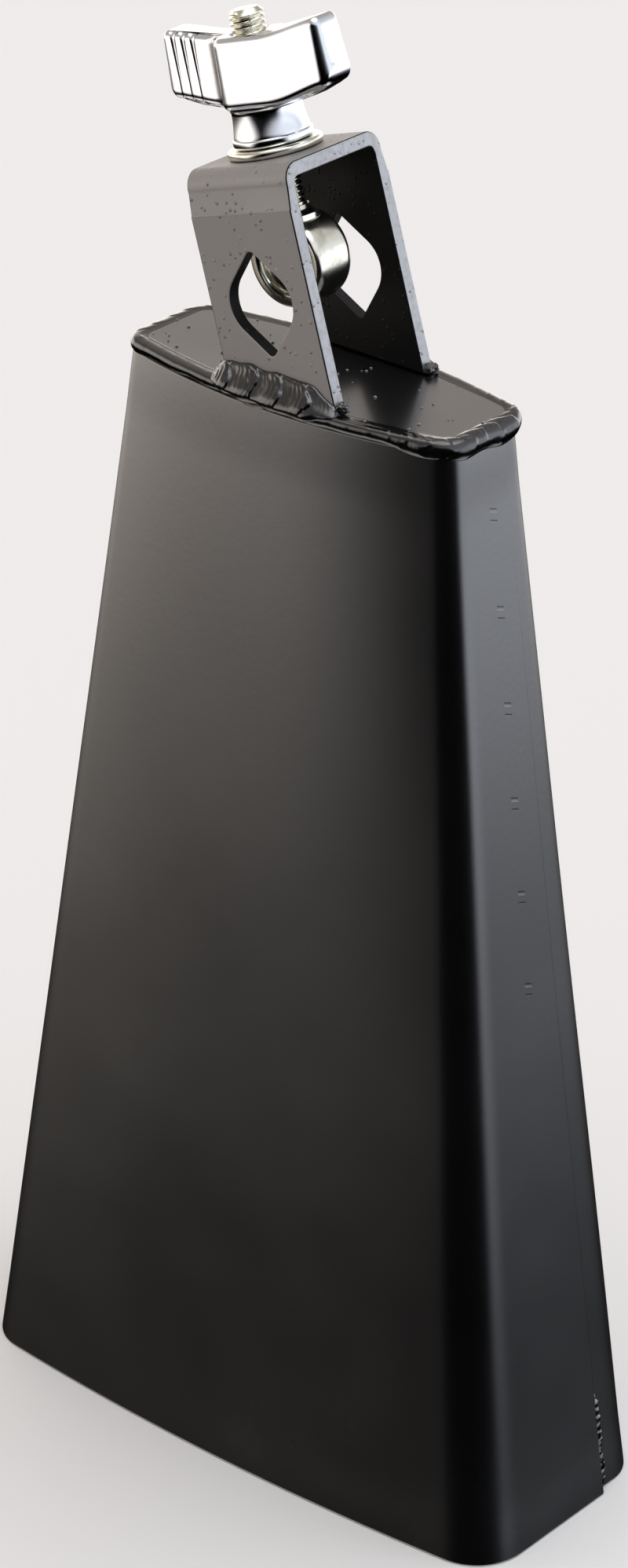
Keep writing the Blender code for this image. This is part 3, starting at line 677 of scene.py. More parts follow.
# weld beads are swept sections that one node tree covers with overlapping pools, ripples and lumps;
# beadMap holds each point's place along and across its bead, and beadFree how far it may move
def beadTree():
    tree, given = startTree("weld_ripples", (
        "Pool Step", "Pool Radius", "Pool Height", "Pool Stretch", "Ripple Spacing", "Ripple Height",
        "Lump Size", "Lump Height", "Wander"))
    radius, spacing = given["Pool Radius"], given["Ripple Spacing"]
    laid = addNode(tree, "GeometryNodeInputNamedAttribute", {"Name": "beadMap"}, data_type="FLOAT_VECTOR")
    free = addNode(tree, "GeometryNodeInputNamedAttribute", {"Name": "beadFree"}, data_type="FLOAT")
    parts = addNode(tree, "ShaderNodeSeparateXYZ", {0: laid})
    where = addNode(tree, "GeometryNodeInputPosition").outputs[0]
    grain = addNode(tree, "ShaderNodeMath", {0: 1.0, 1: given["Lump Size"]}, operation="DIVIDE")
    lumps = addNode(tree, "ShaderNodeTexNoise", {"Vector": where, "Scale": grain, "Detail": 2.0})
    centred = addNode(tree, "ShaderNodeMath", {0: lumps, 1: 0.5}, operation="SUBTRACT")
    # each pool ends in an arc that bulges along the bead, and the next one lies on its tail
    wide = addNode(tree, "ShaderNodeMath", {0: radius, 1: 2.0}, operation="POWER")
    across = addNode(tree, "ShaderNodeMath", {0: parts.outputs[1], 1: parts.outputs[1]}, operation="MULTIPLY")
    left = addNode(tree, "ShaderNodeMath", {0: wide, 1: across}, operation="SUBTRACT")
    kept = addNode(tree, "ShaderNodeMath", {0: left, 1: 0.0}, operation="MAXIMUM")
    bulge = addNode(tree, "ShaderNodeMath", {0: kept}, operation="SQRT")
    sagged = addNode(tree, "ShaderNodeMath", {0: bulge, 1: radius}, operation="SUBTRACT")
    drawn = addNode(tree, "ShaderNodeMath", {0: sagged, 1: given["Pool Stretch"]}, operation="MULTIPLY")
    along = addNode(tree, "ShaderNodeMath", {0: drawn, 1: parts}, operation="SUBTRACT")
    bent = addNode(tree, "ShaderNodeMath", {
        0: centred, 1: given["Wander"], 2: along}, operation="MULTIPLY_ADD")
    behind = addNode(tree, "ShaderNodeMath", {0: bent, 1: given["Pool Step"]}, operation="FLOORED_MODULO")
    tail = addNode(tree, "ShaderNodeMapRange", {0: behind, 2: given["Pool Step"], 3: 1.0, 4: 0.0})
    lip = addNode(tree, "ShaderNodeMapRange", {0: behind, 2: spacing}, interpolation_type="SMOOTHSTEP")
    rise = addNode(tree, "ShaderNodeMath", {0: lip, 1: tail}, operation="MULTIPLY")
    scale = addNode(tree, "ShaderNodeMath", {0: rise, 1: given["Pool Height"]}, operation="MULTIPLY")
    turns = addNode(tree, "ShaderNodeMath", {0: behind, 1: spacing}, operation="DIVIDE")
    phase = addNode(tree, "ShaderNodeMath", {0: turns, 1: math.tau}, operation="MULTIPLY")
    wave = addNode(tree, "ShaderNodeMath", {0: phase}, operation="COSINE")
    ripple = addNode(tree, "ShaderNodeMath", {0: wave, 1: given["Ripple Height"]}, operation="MULTIPLY")
    faded = addNode(tree, "ShaderNodeMath", {0: ripple, 1: tail}, operation="MULTIPLY")
    shaped = addNode(tree, "ShaderNodeMath", {0: scale, 1: faded}, operation="SUBTRACT")
    lift = addNode(tree, "ShaderNodeMath", {
        0: centred, 1: given["Lump Height"], 2: shaped}, operation="MULTIPLY_ADD")
    held = addNode(tree, "ShaderNodeMath", {0: lift, 1: free}, operation="MULTIPLY")
    out = addNode(tree, "GeometryNodeInputNormal")
    shift = addNode(tree, "ShaderNodeVectorMath", {0: out, "Scale": held}, operation="SCALE")
    moved = addNode(tree, "GeometryNodeSetPosition", {"Geometry": given["Geometry"], "Offset": shift})
    return endTree(tree, moved, given)


rippleTree = beadTree()


def makeBead(name, sections, places, frees, closed, values):
    count = len(sections[0])
    points = [p for section in sections for p in section]
    faces = ringFaces(len(sections), count, closedPath=closed)
    if not closed:
        faces += [tuple(range(count)), tuple(range((len(sections) - 1) * count, len(sections) * count))]
    flat = [value for along, across in places for value in (along, across, 0)]
    marks = {"beadMap": ("FLOAT_VECTOR", "vector", flat), "beadFree": ("FLOAT", "value", frees)}
    obj = meshObject(name, points, faces, smoothAngle=0, marks=marks)
    addTree(obj, rippleTree, dict(values, Finish=coatedWeld))
    return settle(obj)


# even steps along a closed line
def evenLoop(line, count):
    ends = line[1:] + line[:1]
    lengths = [math.dist(a, b) for a, b in zip(line, ends)]
    total = sum(lengths)
    placed, walked, k = [], 0.0, 0
    for i in range(count):
        goal = total * i / count
        while walked + lengths[k] < goal:
            walked += lengths[k]
            k += 1
        share = (goal - walked) / lengths[k]
        placed.append((mix(line[k][0], ends[k][0], share), mix(line[k][1], ends[k][1], share)))
    return placed, total


# a closed smooth curve through a few points, as even steps
def smoothLoop(corners, count):
    line = []
    size = len(corners)
    for i in range(size):
        a, b, c, d = (Vector(corners[(i + k) % size]) for k in (-1, 0, 1, 2))
        for k in range(8):
            t = k / 8
            line.append(0.5 * (2 * b + (c - a) * t + (2 * a - 5 * b + 4 * c - d) * t**2
                               + (3 * b - a - 3 * c + d) * t**3))
    placed, total = evenLoop([tuple(p) for p in line], count)
    return placed, total / count


# section points run round the bead in mm: out from the wall, and up from the crown's top
crownBead = {
    "columns": 620, "steps": 44, "crest": 0.36,
    "section": ((-2.6, -0.12), (-1.7, 0.0), (-0.9, 0.06), (-0.3, 0.0), (0.2, -0.2), (0.5, -0.65),
                (0.62, -1.3), (0.5, -2.0), (0.22, -2.6), (0.0, -2.9), (-0.5, -2.9), (-0.7, -2.0),
                (-1.0, -1.0), (-1.7, -0.7)),
    "frontDrop": 0.72, "sideDrop": 1.2, "dropSwing": 0.35,
    "frontOut": 0.7, "sideOut": 1.15, "outSwing": 0.2, "wave": 7 * mm,
    # shares of the crown's half width where it grows heavy, and how much of that the left side has
    "heavyFrom": 0.62, "heavyTo": 0.9, "leftFrom": 0.8, "leftHeavy": 0.35,
    # where the section starts to be free to move and where it is free, and how freely it does on the
    # faces and on the sides
    "freeOut": (-2.0 * mm, -0.9 * mm), "freeUp": (-2.9 * mm, -2.0 * mm), "frontFree": 0.14, "sideFree": 0.7,
    "ripples": {"Pool Step": 3.8 * mm, "Pool Radius": 2.4 * mm, "Pool Height": 0.3 * mm, "Pool Stretch": 1.3,
                "Ripple Spacing": 0.75 * mm, "Ripple Height": 0.06 * mm,
                "Lump Size": 3.4 * mm, "Lump Height": 0.8 * mm, "Wander": 5.0 * mm},
}


def makeCrownBead():
    setup = crownBead
    inner, total = evenLoop(fullWall(bellHeight, 0.0), setup["columns"])
    section, step = smoothLoop(setup["section"], setup["steps"])
    section = [(o * mm, u * mm) for o, u in section]
    crest = setup["crest"] * setup["steps"]
    slopeX = (cadHigh.x - crownX) / bellHeight
    slopeY = (-cadLow.y - crownY) / bellHeight
    (outFrom, outTo), (upFrom, upTo) = setup["freeOut"], setup["freeUp"]
    sections, places, frees = [], [], []
    for i, (x, y) in enumerate(inner):
        after, before = inner[(i + 1) % len(inner)], inner[i - 1]
        along = Vector((after[0] - before[0], after[1] - before[1], 0)).normalized()
        out = Vector((along.y, -along.x, 0))
        slope = out.x**2 * slopeX + out.y**2 * slopeY
        ragged = noise.noise(Vector((x, y, 0)) / setup["wave"])
        # the bead is a thin smooth lip along the two faces, and rough and heavy round the narrow sides
        heavy = max(smooth(crownX * setup["heavyFrom"], crownX * setup["heavyTo"], x),
                    setup["leftHeavy"] * smooth(crownX * setup["leftFrom"], crownX, -x))
        drop = mix(setup["frontDrop"], setup["sideDrop"], heavy) * (1 + setup["dropSwing"] * ragged)
        proud = mix(setup["frontOut"], setup["sideOut"], heavy) * (1 + setup["outSwing"] * ragged)
        ring = []
        for k, (o, u) in enumerate(section):
            o = o * proud if o > 0 else o
            u = u * drop if u < 0 else u
            ring.append(Vector((x, y, bellHeight + u)) + out * (o - u * slope))
            free = smooth(outFrom, outTo, o) * smooth(upFrom * drop, upTo * drop, u)
            frees.append(free * mix(setup["frontFree"], setup["sideFree"], heavy))
            places.append((total * i / len(inner), (k - crest) * step * mm))
        sections.append(ring)
    obj = makeBead("crown_bead", sections, places, frees, True, setup["ripples"])
    finishPiece(obj, "cap_weld", "bell")


makeCrownBead()

seamBead = {
    "rows": 90, "steps": 14, "radius": 0.75 * mm, "deep": 1.3,  # deeper along Y than it is proud
    "sunk": 0.95 * mm, "behind": 0.35 * mm,  # its middle lies inside the wall, just behind the seam
    "ripples": {"Pool Step": 1.6 * mm, "Pool Radius": 1.4 * mm, "Pool Height": 0.2 * mm, "Pool Stretch": 1.0,
                "Ripple Spacing": 0.6 * mm, "Ripple Height": 0.03 * mm,
                "Lump Size": 0.8 * mm, "Lump Height": 0.9 * mm, "Wander": 1.0 * mm},
}


def makeSeamBead(name, node, side):
    setup = seamBead
    low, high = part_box(node)
    sections, places, frees = [], [], []
    turns = [math.tau * k / setup["steps"] for k in range(setup["steps"])]
    for i in range(setup["rows"] + 1):
        share = i / setup["rows"]
        z = mix(low.z, high.z, share)
        coreX, _, corner, _ = wallSizes(z)
        radius = setup["radius"] * (math.sqrt(max(0.0, 1 - (2 * share - 1) ** 6)) + 0.02)
        middle = Vector((side * (coreX + corner - setup["sunk"]), seamY(z) + setup["behind"], z))
        wide, deep = side * radius, radius * setup["deep"]
        sections.append([middle + Vector((wide * math.cos(t), deep * math.sin(t), 0)) for t in turns])
        places += [(z, radius * math.sin(t)) for t in turns]
        frees += [smooth(-0.4, 0.4, math.cos(t)) for t in turns]
    obj = makeBead(name, sections, places, frees, False, setup["ripples"])
    finishPiece(obj, node, "bell")


makeSeamBead("seam_bead_right", "seam_weld_right", 1)
makeSeamBead("seam_bead_left", "seam_weld_left", -1)

# section points in mm: out from the leg's face, and up from the crown's top
footBead = {
    "columns": 260, "steps": 60, "crest": 0.27,
    "section": ((-0.4, 3.4), (0.0, 3.85), (0.45, 3.6), (1.0, 2.75), (1.6, 1.9), (2.3, 1.0), (2.9, 0.1),
                (3.15, -0.8), (2.8, -1.6), (2.1, -1.9), (0.8, -1.6), (-0.3, -0.9), (-0.4, 1.2)),
    "overLeft": 2.4 * mm, "overRight": 0.5 * mm, "footRise": 1.5 * mm,
    "endSize": 0.04, "endPower": 4, "sizeSwing": 0.12, "wave": 3 * mm, "leastOut": 0.35,
    # the last pool, at the right end, is smaller and calmer than the rest
    "lastPool": 4.6 * mm, "lastSize": 0.72, "lastCalm": 0.35,
    "freeOut": (-0.2 * mm, 0.7 * mm), "freeUp": (-1.2 * mm, 0.9 * mm),
    "ripples": {"Pool Step": 5.6 * mm, "Pool Radius": 4.4 * mm, "Pool Height": 0.42 * mm, "Pool Stretch": 1.3,
                "Ripple Spacing": 1.0 * mm, "Ripple Height": 0.06 * mm,
                "Lump Size": 3.0 * mm, "Lump Height": 0.7 * mm, "Wander": 3.0 * mm},
}


def makeFootBead(name, node, side):
    setup = footBead
    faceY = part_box("mount_bracket")[1].y * side
    bracket = [v.co for v in frame["nodes"]["mount_bracket"].data.vertices]
    start = min(p.x for p in bracket if p.z < bellHeight + setup["footRise"]) - setup["overLeft"]
    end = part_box(node)[1].x + setup["overRight"]
    lastPool = end - setup["lastPool"]
    section, step = smoothLoop(setup["section"], setup["steps"])
    section = [(o * mm, u * mm) for o, u in section]
    crest = setup["crest"] * setup["steps"]
    (outFrom, outTo), (upFrom, upTo) = setup["freeOut"], setup["freeUp"]
    sections, places, frees = [], [], []
    for i in range(setup["columns"] + 1):
        share = i / setup["columns"]
        x = mix(start, end, share)
        size = mix(setup["endSize"], 1.0, math.sqrt(max(0.0, 1 - abs(2 * share - 1) ** setup["endPower"])))
        size *= mix(1.0, setup["lastSize"], smooth(lastPool - 1 * mm, lastPool + 2 * mm, x))
        size *= 1 + setup["sizeSwing"] * noise.noise(Vector((x, 0, side)) / setup["wave"])
        calm = mix(1.0, setup["lastCalm"], smooth(lastPool - 0.5 * mm, lastPool + 1.5 * mm, x))
        ring = []
        for k, (o, u) in enumerate(section):
            wide = o * mix(setup["leastOut"], 1.0, size) if o > 0 else o
            ring.append(Vector((x, faceY + side * wide, bellHeight + u * size)))
            frees.append(calm * smooth(outFrom, outTo, o) * smooth(upFrom, upTo, u))
            places.append((x - lastPool, (k - crest) * step * mm))
        sections.append(ring)
    obj = makeBead(name, sections, places, frees, False, setup["ripples"])
    finishPiece(obj, node, "bell")


makeFootBead("foot_bead_front", "bracket_weld_front", -1)
makeFootBead("foot_bead_rear", "bracket_weld_rear", 1)

# small knobbly blobs where the cut edge meets the crown
tack = {
    "rings": 30, "steps": 44, "grow": 1.05, "pole": 0.03,  # share of the half turn left open at each end
    "ripples": {"Pool Step": 1.4 * mm, "Pool Radius": 1.2 * mm, "Pool Height": 0.15 * mm, "Pool Stretch": 1.0,
                "Ripple Spacing": 0.6 * mm, "Ripple Height": 0.03 * mm,
                "Lump Size": 0.9 * mm, "Lump Height": 1.9 * mm, "Wander": 1.0 * mm},
}


def makeTack(name, node):
    low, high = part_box(node)
    middle = (low + high) / 2
    half = (high - low) / 2 * tack["grow"]
    turns = [math.tau * k / tack["steps"] for k in range(tack["steps"])]
    sections, places = [], []
    for i in range(tack["rings"] + 1):
        drop = math.pi * mix(tack["pole"], 1 - tack["pole"], i / tack["rings"])
        wide, up = math.sin(drop), half.z * math.cos(drop)
        sections.append([middle + Vector((half.x * wide * math.cos(t), half.y * wide * math.sin(t), up))
                         for t in turns])
        places += [(up, half.x * math.sin(t)) for t in turns]
    obj = makeBead(name, sections, places, [1.0] * len(places), False, tack["ripples"])
    finishPiece(obj, node, "bell")


makeTack("foot_tack_front", "bracket_tack_front")
makeTack("foot_tack_rear", "bracket_tack_rear")
print("welds ready")


strip = {
    "thickness": 2.5 * mm, "bend": 3.6 * mm, "bendSteps": 14, "edgeEase": 0.28 * mm,
    "diamondDrop": 22.6 * mm, "diamondReach": 9.25 * mm, "tipRadius": 1.0 * mm, "sideRadius": 5.8 * mm,
    "boltHole": 7.2 * mm, "dieLine": 7.2 * mm, "dieStep": 0.13 * mm, "dieLean": 0.5 * mm,
    "sideSteps": 14, "tipSteps": 6, "boltSteps": 48,
    "endOn": 0.95, "aslant": 0.2, "outward": 0.3,  # parts of a face's normal that tell the faces apart
}


def prismObject(name, outline, low, high, place):
    count = len(outline)
    points = [place(a, b, low) for a, b in outline] + [place(a, b, high) for a, b in outline]
    faces = [tuple(range(count)), tuple(range(count, 2 * count))]
    faces += ringFaces(2, count)
    return meshObject(name, points, faces)


def cutWith(obj, tool, operation="DIFFERENCE"):
    step = obj.modifiers.new(tool.name, "BOOLEAN")
    step.operation = operation
    step.object = tool
    step.solver = "EXACT"


def makeStrip():
    setup = strip
    low, high = leanBox("mount_bracket")
    half = high.y
    bend, thick = setup["bend"], setup["thickness"]
    steps = setup["bendSteps"]
    middleU = (low.x + high.x) / 2
    slope = math.tan(math.acos(vAxis.z))
    footMiddle = low.z + slope * (high.x - low.x) / 2
    outer = arc((half - bend, -bend), bend, 0, 90, steps)
    inner = arc((half - bend, -bend), bend - thick, 90, 0, steps)
    step, line, lean = setup["dieStep"], -setup["dieLine"], setup["dieLean"]
    points = []
    for across in (low.x, high.x):
        foot = footMiddle - slope * (across - middleU)
        # the press left a small step below the bend, and the band above it leans in a little
        right = [(half, foot), (half, line - step), (half - step, line)]
        right += [(y - (step + lean) * (1 - i / steps), v) for i, (y, v) in enumerate(outer)]
        left = [(-y, v) for y, v in reversed(right)]
        inside = inner + [(half - thick, foot)]
        mirrored = [(-y, v) for y, v in reversed(inside)]
        points += [(across, y, v) for y, v in right + left + mirrored + inside]
    count = len(points) // 2
    faces = [tuple(range(count)), tuple(range(count, 2 * count))] + ringFaces(2, count)
    obj = meshObject("clamp_strip", points, faces, wornStripCoat)
    sideRadius, tipRadius = setup["sideRadius"], setup["tipRadius"]
    side = setup["diamondReach"] - sideRadius * math.sqrt(2)
    tip = setup["diamondReach"] - tipRadius * math.sqrt(2)
    corners = (((side, 0), sideRadius, -45, "sideSteps"), ((0, tip), tipRadius, 45, "tipSteps"),
               ((-side, 0), sideRadius, 135, "sideSteps"), ((0, -tip), tipRadius, 225, "tipSteps"))
    diamond = []
    for centre, radius, turn, fine in corners:
        diamond += arc(centre, radius, turn, turn + 90, setup[fine])
    drop = setup["diamondDrop"]
    hole = prismObject("diamond_cutter", diamond, -2 * half, 2 * half,
                       lambda a, b, c: (a + middleU, c, b - drop))
    circle = arc((0, 0), setup["boltHole"] / 2, 0, 360, setup["boltSteps"])[:-1]
    bore = prismObject("bolt_cutter", circle, -2 * thick, thick, lambda a, b, c: (a, b, c))
    cutWith(obj, hole)
    cutWith(obj, bore)
    bevelEdges(obj, setup["edgeEase"], angle=50)
    flatten = obj.modifiers.new("flat_faces", "WEIGHTED_NORMAL")
    flatten.keep_sharp = True
    settle(obj)
    for tool in (hole, bore):
        bpy.data.objects.remove(tool)
    mesh = obj.data
    mesh.materials.clear()
    for finish in (wornStripCoat, paintedShadeInnerCoat):
        mesh.materials.append(finish)
    mesh.attributes.new("cutEdge", "FLOAT", "FACE")
    cuts = []
    for face in mesh.polygons:
        middle, out = face.center, face.normal
        fromSide = min(abs(middle.x - low.x), abs(middle.x - high.x))
        cuts.append(1.0 if abs(out.x) > setup["endOn"] and fromSide < 0.05 * mm else 0.0)
        # faces turned inwards, the hole walls and the eased strips beside the cut edges take the near-black
        # copy of the coat, which is painted shade; the cut edges and the outer faces keep the worn outer coat
        outside = abs(middle.y) > half - 0.6 * thick or middle.z > -0.4 * thick
        upward = max(0.0, out.z) if middle.z > -bend else 0.0
        facing = abs(out.y) * (1 if out.y * middle.y > 0 else -1) + upward
        rounded = fromSide < setup["edgeEase"] and setup["aslant"] < abs(out.x) < setup["endOn"]
        worn = cuts[-1] or (outside and facing > setup["outward"] and not rounded)
        face.material_index = 0 if worn else 1
    mesh.attributes["cutEdge"].data.foreach_set("value", cuts)
    mesh.transform(clampPlace)
    finishPiece(obj, "mount_bracket", "bell")


makeStrip()
print("clamp strip ready")


def lathePoints(profile, steps):
    return [(r * math.cos(math.tau * i / steps), r * math.sin(math.tau * i / steps), z)
            for r, z in profile for i in range(steps)]


def threadTree():
    tree, given = startTree("thread_ridges", ("Pitch", "Depth"))
    where = addNode(tree, "GeometryNodeInputPosition").outputs[0]
    parts = addNode(tree, "ShaderNodeSeparateXYZ", {0: where})
    turn = addNode(tree, "ShaderNodeMath", {0: parts.outputs[1], 1: parts}, operation="ARCTAN2")
    turns = addNode(tree, "ShaderNodeMath", {0: turn, 1: math.tau}, operation="DIVIDE")
    rise = addNode(tree, "ShaderNodeMath", {0: parts.outputs[2], 1: given["Pitch"]}, operation="DIVIDE")
    helix = addNode(tree, "ShaderNodeMath", {0: rise, 1: turns}, operation="SUBTRACT")
    twice = addNode(tree, "ShaderNodeMath", {0: helix, 1: 2.0}, operation="MULTIPLY")
    tooth = addNode(tree, "ShaderNodeMath", {0: twice, 1: 1.0}, operation="PINGPONG")
    flank = addNode(tree, "ShaderNodeMapRange", {0: tooth, 1: 0.12, 2: 0.88})
    body = addNode(tree, "GeometryNodeInputNamedAttribute", {"Name": "threadZone"}, data_type="FLOAT")
    depth = addNode(tree, "ShaderNodeMath", {0: flank, 1: given["Depth"]}, operation="MULTIPLY")
    zone = addNode(tree, "ShaderNodeMath", {0: depth, 1: body}, operation="MULTIPLY")
    flat = addNode(tree, "ShaderNodeCombineXYZ", {0: parts, 1: parts.outputs[1]})
    inward = addNode(tree, "ShaderNodeVectorMath", {0: flat}, operation="NORMALIZE")
    back = addNode(tree, "ShaderNodeMath", {0: zone, 1: -1.0}, operation="MULTIPLY")
    shift = addNode(tree, "ShaderNodeVectorMath", {0: inward, "Scale": back}, operation="SCALE")
    moved = addNode(tree, "GeometryNodeSetPosition", {"Geometry": given["Geometry"], "Offset": shift})
    return endTree(tree, moved, given)


screw = {
    "radius": 3.0 * mm, "pitch": 1.0 * mm, "depth": 0.5 * mm, "rowsPerTurn": 16, "steps": 72,
    "eyeDrop": 18.0 * mm, "eyeOuter": 7.8 * mm, "eyeHole": 5.3 * mm, "eyeWidth": 8.4 * mm,
    "outerEase": (0.8 * mm, 1.4 * mm), "holeEase": (0.9 * mm, 2.0 * mm),  # across and along the eye
    "eyeSteps": 96, "arcSteps": 12, "holeSteps": 10,
    "neck": 3.4 * mm, "neckTop": 9.2 * mm, "neckEdge": 0.5 * mm,
    # the neck flares into the eye: how wide and tall, and how far below the eye's top it starts
    "flare": 1.6 * mm, "flareTall": 1.4 * mm, "flareSunk": 0.6 * mm,
    "rootRise": 1.0 * mm, "axisGap": 0.02 * mm, "runIn": 1.0 * mm,
    "threadEnd": 0.7 * mm, "lastThread": 0.6,  # below the top, and what is left of its last ridge
    # the screw's tip, inwards from the thread and down from the top
    "tip": ((0.2 * mm, 0.55 * mm), (0.75 * mm, 0.05 * mm), (0.95 * mm, 0.0), (1.4 * mm, 0.0)),
    "smoothAngle": 38,
}


def makeScrew():
    setup = screw
    top = leanBox("eye_bolt")[1].z
    eye = -setup["eyeDrop"]
    radius, steps = setup["radius"], setup["steps"]
    threadLow = -setup["neckTop"]
    threadHigh = top - setup["threadEnd"]
    rows = round((threadHigh - threadLow) / setup["pitch"] * setup["rowsPerTurn"])
    root = eye + setup["eyeHole"] + setup["rootRise"]
    neck, flare, axisGap = setup["neck"], setup["flare"], setup["axisGap"]
    profile = [(axisGap, root), (neck + flare, root)]
    for turn in (math.radians(a) for a in range(0, 91, 15)):
        rise = setup["flareTall"] * (1 - math.cos(turn)) - setup["flareSunk"]
        profile.append((neck + flare * (1 - math.sin(turn)), eye + setup["eyeOuter"] + rise))
    profile.append((neck, threadLow - setup["neckEdge"]))
    zone = [0.0] * len(profile)
    for i in range(rows + 1):
        z = mix(threadLow, threadHigh, i / rows)
        profile.append((radius, z))
        zone.append(smooth(threadLow, threadLow + setup["runIn"], z))
    profile += [(radius - inward, top - down) for inward, down in setup["tip"]] + [(axisGap, top)]
    zone += [setup["lastThread"]] + [0.0] * len(setup["tip"])
    points = lathePoints(profile, steps)
    faces = ringFaces(len(profile), steps)
    faces += [tuple(range(steps)), tuple(range((len(profile) - 1) * steps, len(profile) * steps))]
    marks = {"threadZone": ("FLOAT", "value", [value for value in zone for _ in range(steps)])}
    shank = meshObject("eye_screw", points, faces, smoothAngle=0, marks=marks)
    addTree(shank, threadTree(), {"Pitch": setup["pitch"], "Depth": setup["depth"], "Finish": brightZinc})
    settle(shank)
    half, outer, inner = setup["eyeWidth"] / 2, setup["eyeOuter"], setup["eyeHole"]
    (wide, deep), (fine, lean) = setup["outerEase"], setup["holeEase"]
    arcSteps, holeSteps, ringSteps = setup["arcSteps"], setup["holeSteps"], setup["eyeSteps"]
    section = arc((outer - wide, half - deep), wide, 0, 90, arcSteps, deep)
    section += arc((inner + fine, half - lean), fine, 90, 180, holeSteps, lean)
    section += arc((inner + fine, lean - half), fine, 180, 270, holeSteps, lean)
    section += arc((outer - wide, deep - half), wide, 270, 360, arcSteps, deep)
    points = []
    for i in range(ringSteps):
        turn = math.tau * i / ringSteps
        points += [(r * math.cos(turn), y, eye + r * math.sin(turn)) for r, y in section]
    ring = meshObject("eye_ring", points, ringFaces(ringSteps, len(section), closedPath=True), brightZinc)
    cutWith(shank, ring, "UNION")
    settle(shank)
    bpy.data.objects.remove(ring)
    shank.data.shade_smooth()
    shank.data.set_sharp_from_angle(angle=math.radians(setup["smoothAngle"]))
    shank.data.transform(clampPlace)
    finishPiece(shank, "eye_bolt", "eye_bolt")


makeScrew()

washer = {"hole": 3.3 * mm, "holeEase": 0.15 * mm, "ease": 0.5 * mm, "steps": 128}


def makeWasher():
    low, high = leanBox("washer")
    outer, ease = high.x, washer["ease"]
    hole, lip = washer["hole"], washer["holeEase"]
    profile = [(hole, high.z - lip), (hole, low.z + lip), (hole + lip, low.z)]
    profile += arc((outer - ease, low.z + ease), ease, -90, 0, 5)
    profile += arc((outer - ease, high.z - ease), ease, 0, 90, 5)
    profile.append((hole + lip, high.z))
    points = lathePoints(profile, washer["steps"])
    faces = ringFaces(len(profile), washer["steps"], closedPath=True)
    obj = meshObject("plain_washer", points, faces, brightZinc)
    obj.data.transform(clampPlace)
    finishPiece(obj, "washer", "washer")


makeWasher()

wingNut = {
    "flush": 5.5 * mm, "back": 1.8 * mm, "edge": 2.1 * mm, "turn": 4.0,
    "hubEdge": (4.4 * mm, 2.6 * mm), "waist": (7.3 * mm, 3.0 * mm),  # corner place and rounding, from above
    "grooves": (15.4 * mm, 13.4 * mm, 11.4 * mm), "grooveWide": 0.3 * mm, "grooveDeep": 0.13 * mm,
    # half of a groove's section: place as a share of its half width, and depth
    "grooveSide": ((1.5, 0.0), (1.0, 0.1), (0.5, 0.8)),
    "low": 8.0 * mm, "lowTip": 10.6 * mm, "high": 20.0 * mm,
    "riseFrom": 0.25, "riseTo": 1.05,  # shares of the wing's reach over which it rises to its tip
    "tipRound": 1.7 * mm, "neck": 5.95 * mm, "neckLow": 6.45 * mm, "collar": 6.75 * mm, "collarTop": 1.5 * mm,
    "collarEase": 0.5 * mm, "collarEdge": 0.35 * mm, "collarGap": 0.15 * mm, "neckSteps": 10,
    # the neck's end, outwards from it and below the hub's underside, into which it turns
    "neckEnd": ((0.0, 0.5 * mm), (0.12 * mm, 0.2 * mm), (0.35 * mm, 0.0)),
    # the mouth of the bore, outwards and below the top
    "mouth": ((0.9 * mm, 0.0), (0.4 * mm, 0.1 * mm), (0.0, 0.6 * mm)),
    "bore": 3.2 * mm, "boreEase": 0.3 * mm, "ease": 1.2 * mm, "draft": 0.55 * mm, "spacing": 0.8 * mm,
}


def roundedCorner(before, corner, after, radius, steps):
    a = (Vector(before) - Vector(corner)).normalized()
    b = (Vector(after) - Vector(corner)).normalized()
    half = a.angle(b) / 2
    centre = Vector(corner) + (a + b).normalized() * radius / math.sin(half)
    reach = radius / math.tan(half)
    start = Vector(corner) + a * reach - centre
    end = Vector(corner) + b * reach - centre
    first = math.atan2(start.y, start.x)
    sweep = (math.atan2(end.y, end.x) - first + math.pi) % math.tau - math.pi
    turns = [first + sweep * i / steps for i in range(steps + 1)]
    return [tuple(centre + Vector((math.cos(t), math.sin(t))) * radius) for t in turns]


# the nut from above: each wing is flush with one side of the hub and set back on the other
def wingLine(tip):
    setup = wingNut
    flush, back, deep = setup["flush"], setup["back"], setup["grooveDeep"]
    hubX, hubRound = setup["hubEdge"]
    waistX, waistRound = setup["waist"]
    line = roundedCorner((-hubX, -flush), (tip, -flush), (tip, back), setup["edge"], 10)
    line += roundedCorner((tip, -flush), (tip, back), (waistX, back), setup["edge"] * 0.75, 10)
    groove = list(setup["grooveSide"])
    groove += [(0.0, 1.0)] + [(-share, depth) for share, depth in reversed(groove)]
    for x in setup["grooves"]:
        line += [(x + setup["grooveWide"] * share / 2, back - deep * depth) for share, depth in groove]
    line += roundedCorner((tip, back), (waistX, back), (hubX, flush), waistRound, 10)
    line += roundedCorner((waistX, back), (hubX, flush), (-tip, flush), hubRound, 10)
    full = line + [(-x, -y) for x, y in line]
    dense = []
    for a, b in zip(full, full[1:] + full[:1]):
        pieces = max(1, round(math.dist(a, b) / setup["spacing"]))
        dense += [(mix(a[0], b[0], k / pieces), mix(a[1], b[1], k / pieces)) for k in range(pieces)]
    return dense


def circleRing(line, radius, z):
    return [(radius * math.cos(t), radius * math.sin(t), z) for t in (math.atan2(y, x) for x, y in line)]


def ringBetween(start, end, share, rise):
    return [(mix(a[0], b[0], share), mix(a[1], b[1], share), mix(a[2], b[2], rise))
            for a, b in zip(start, end)]


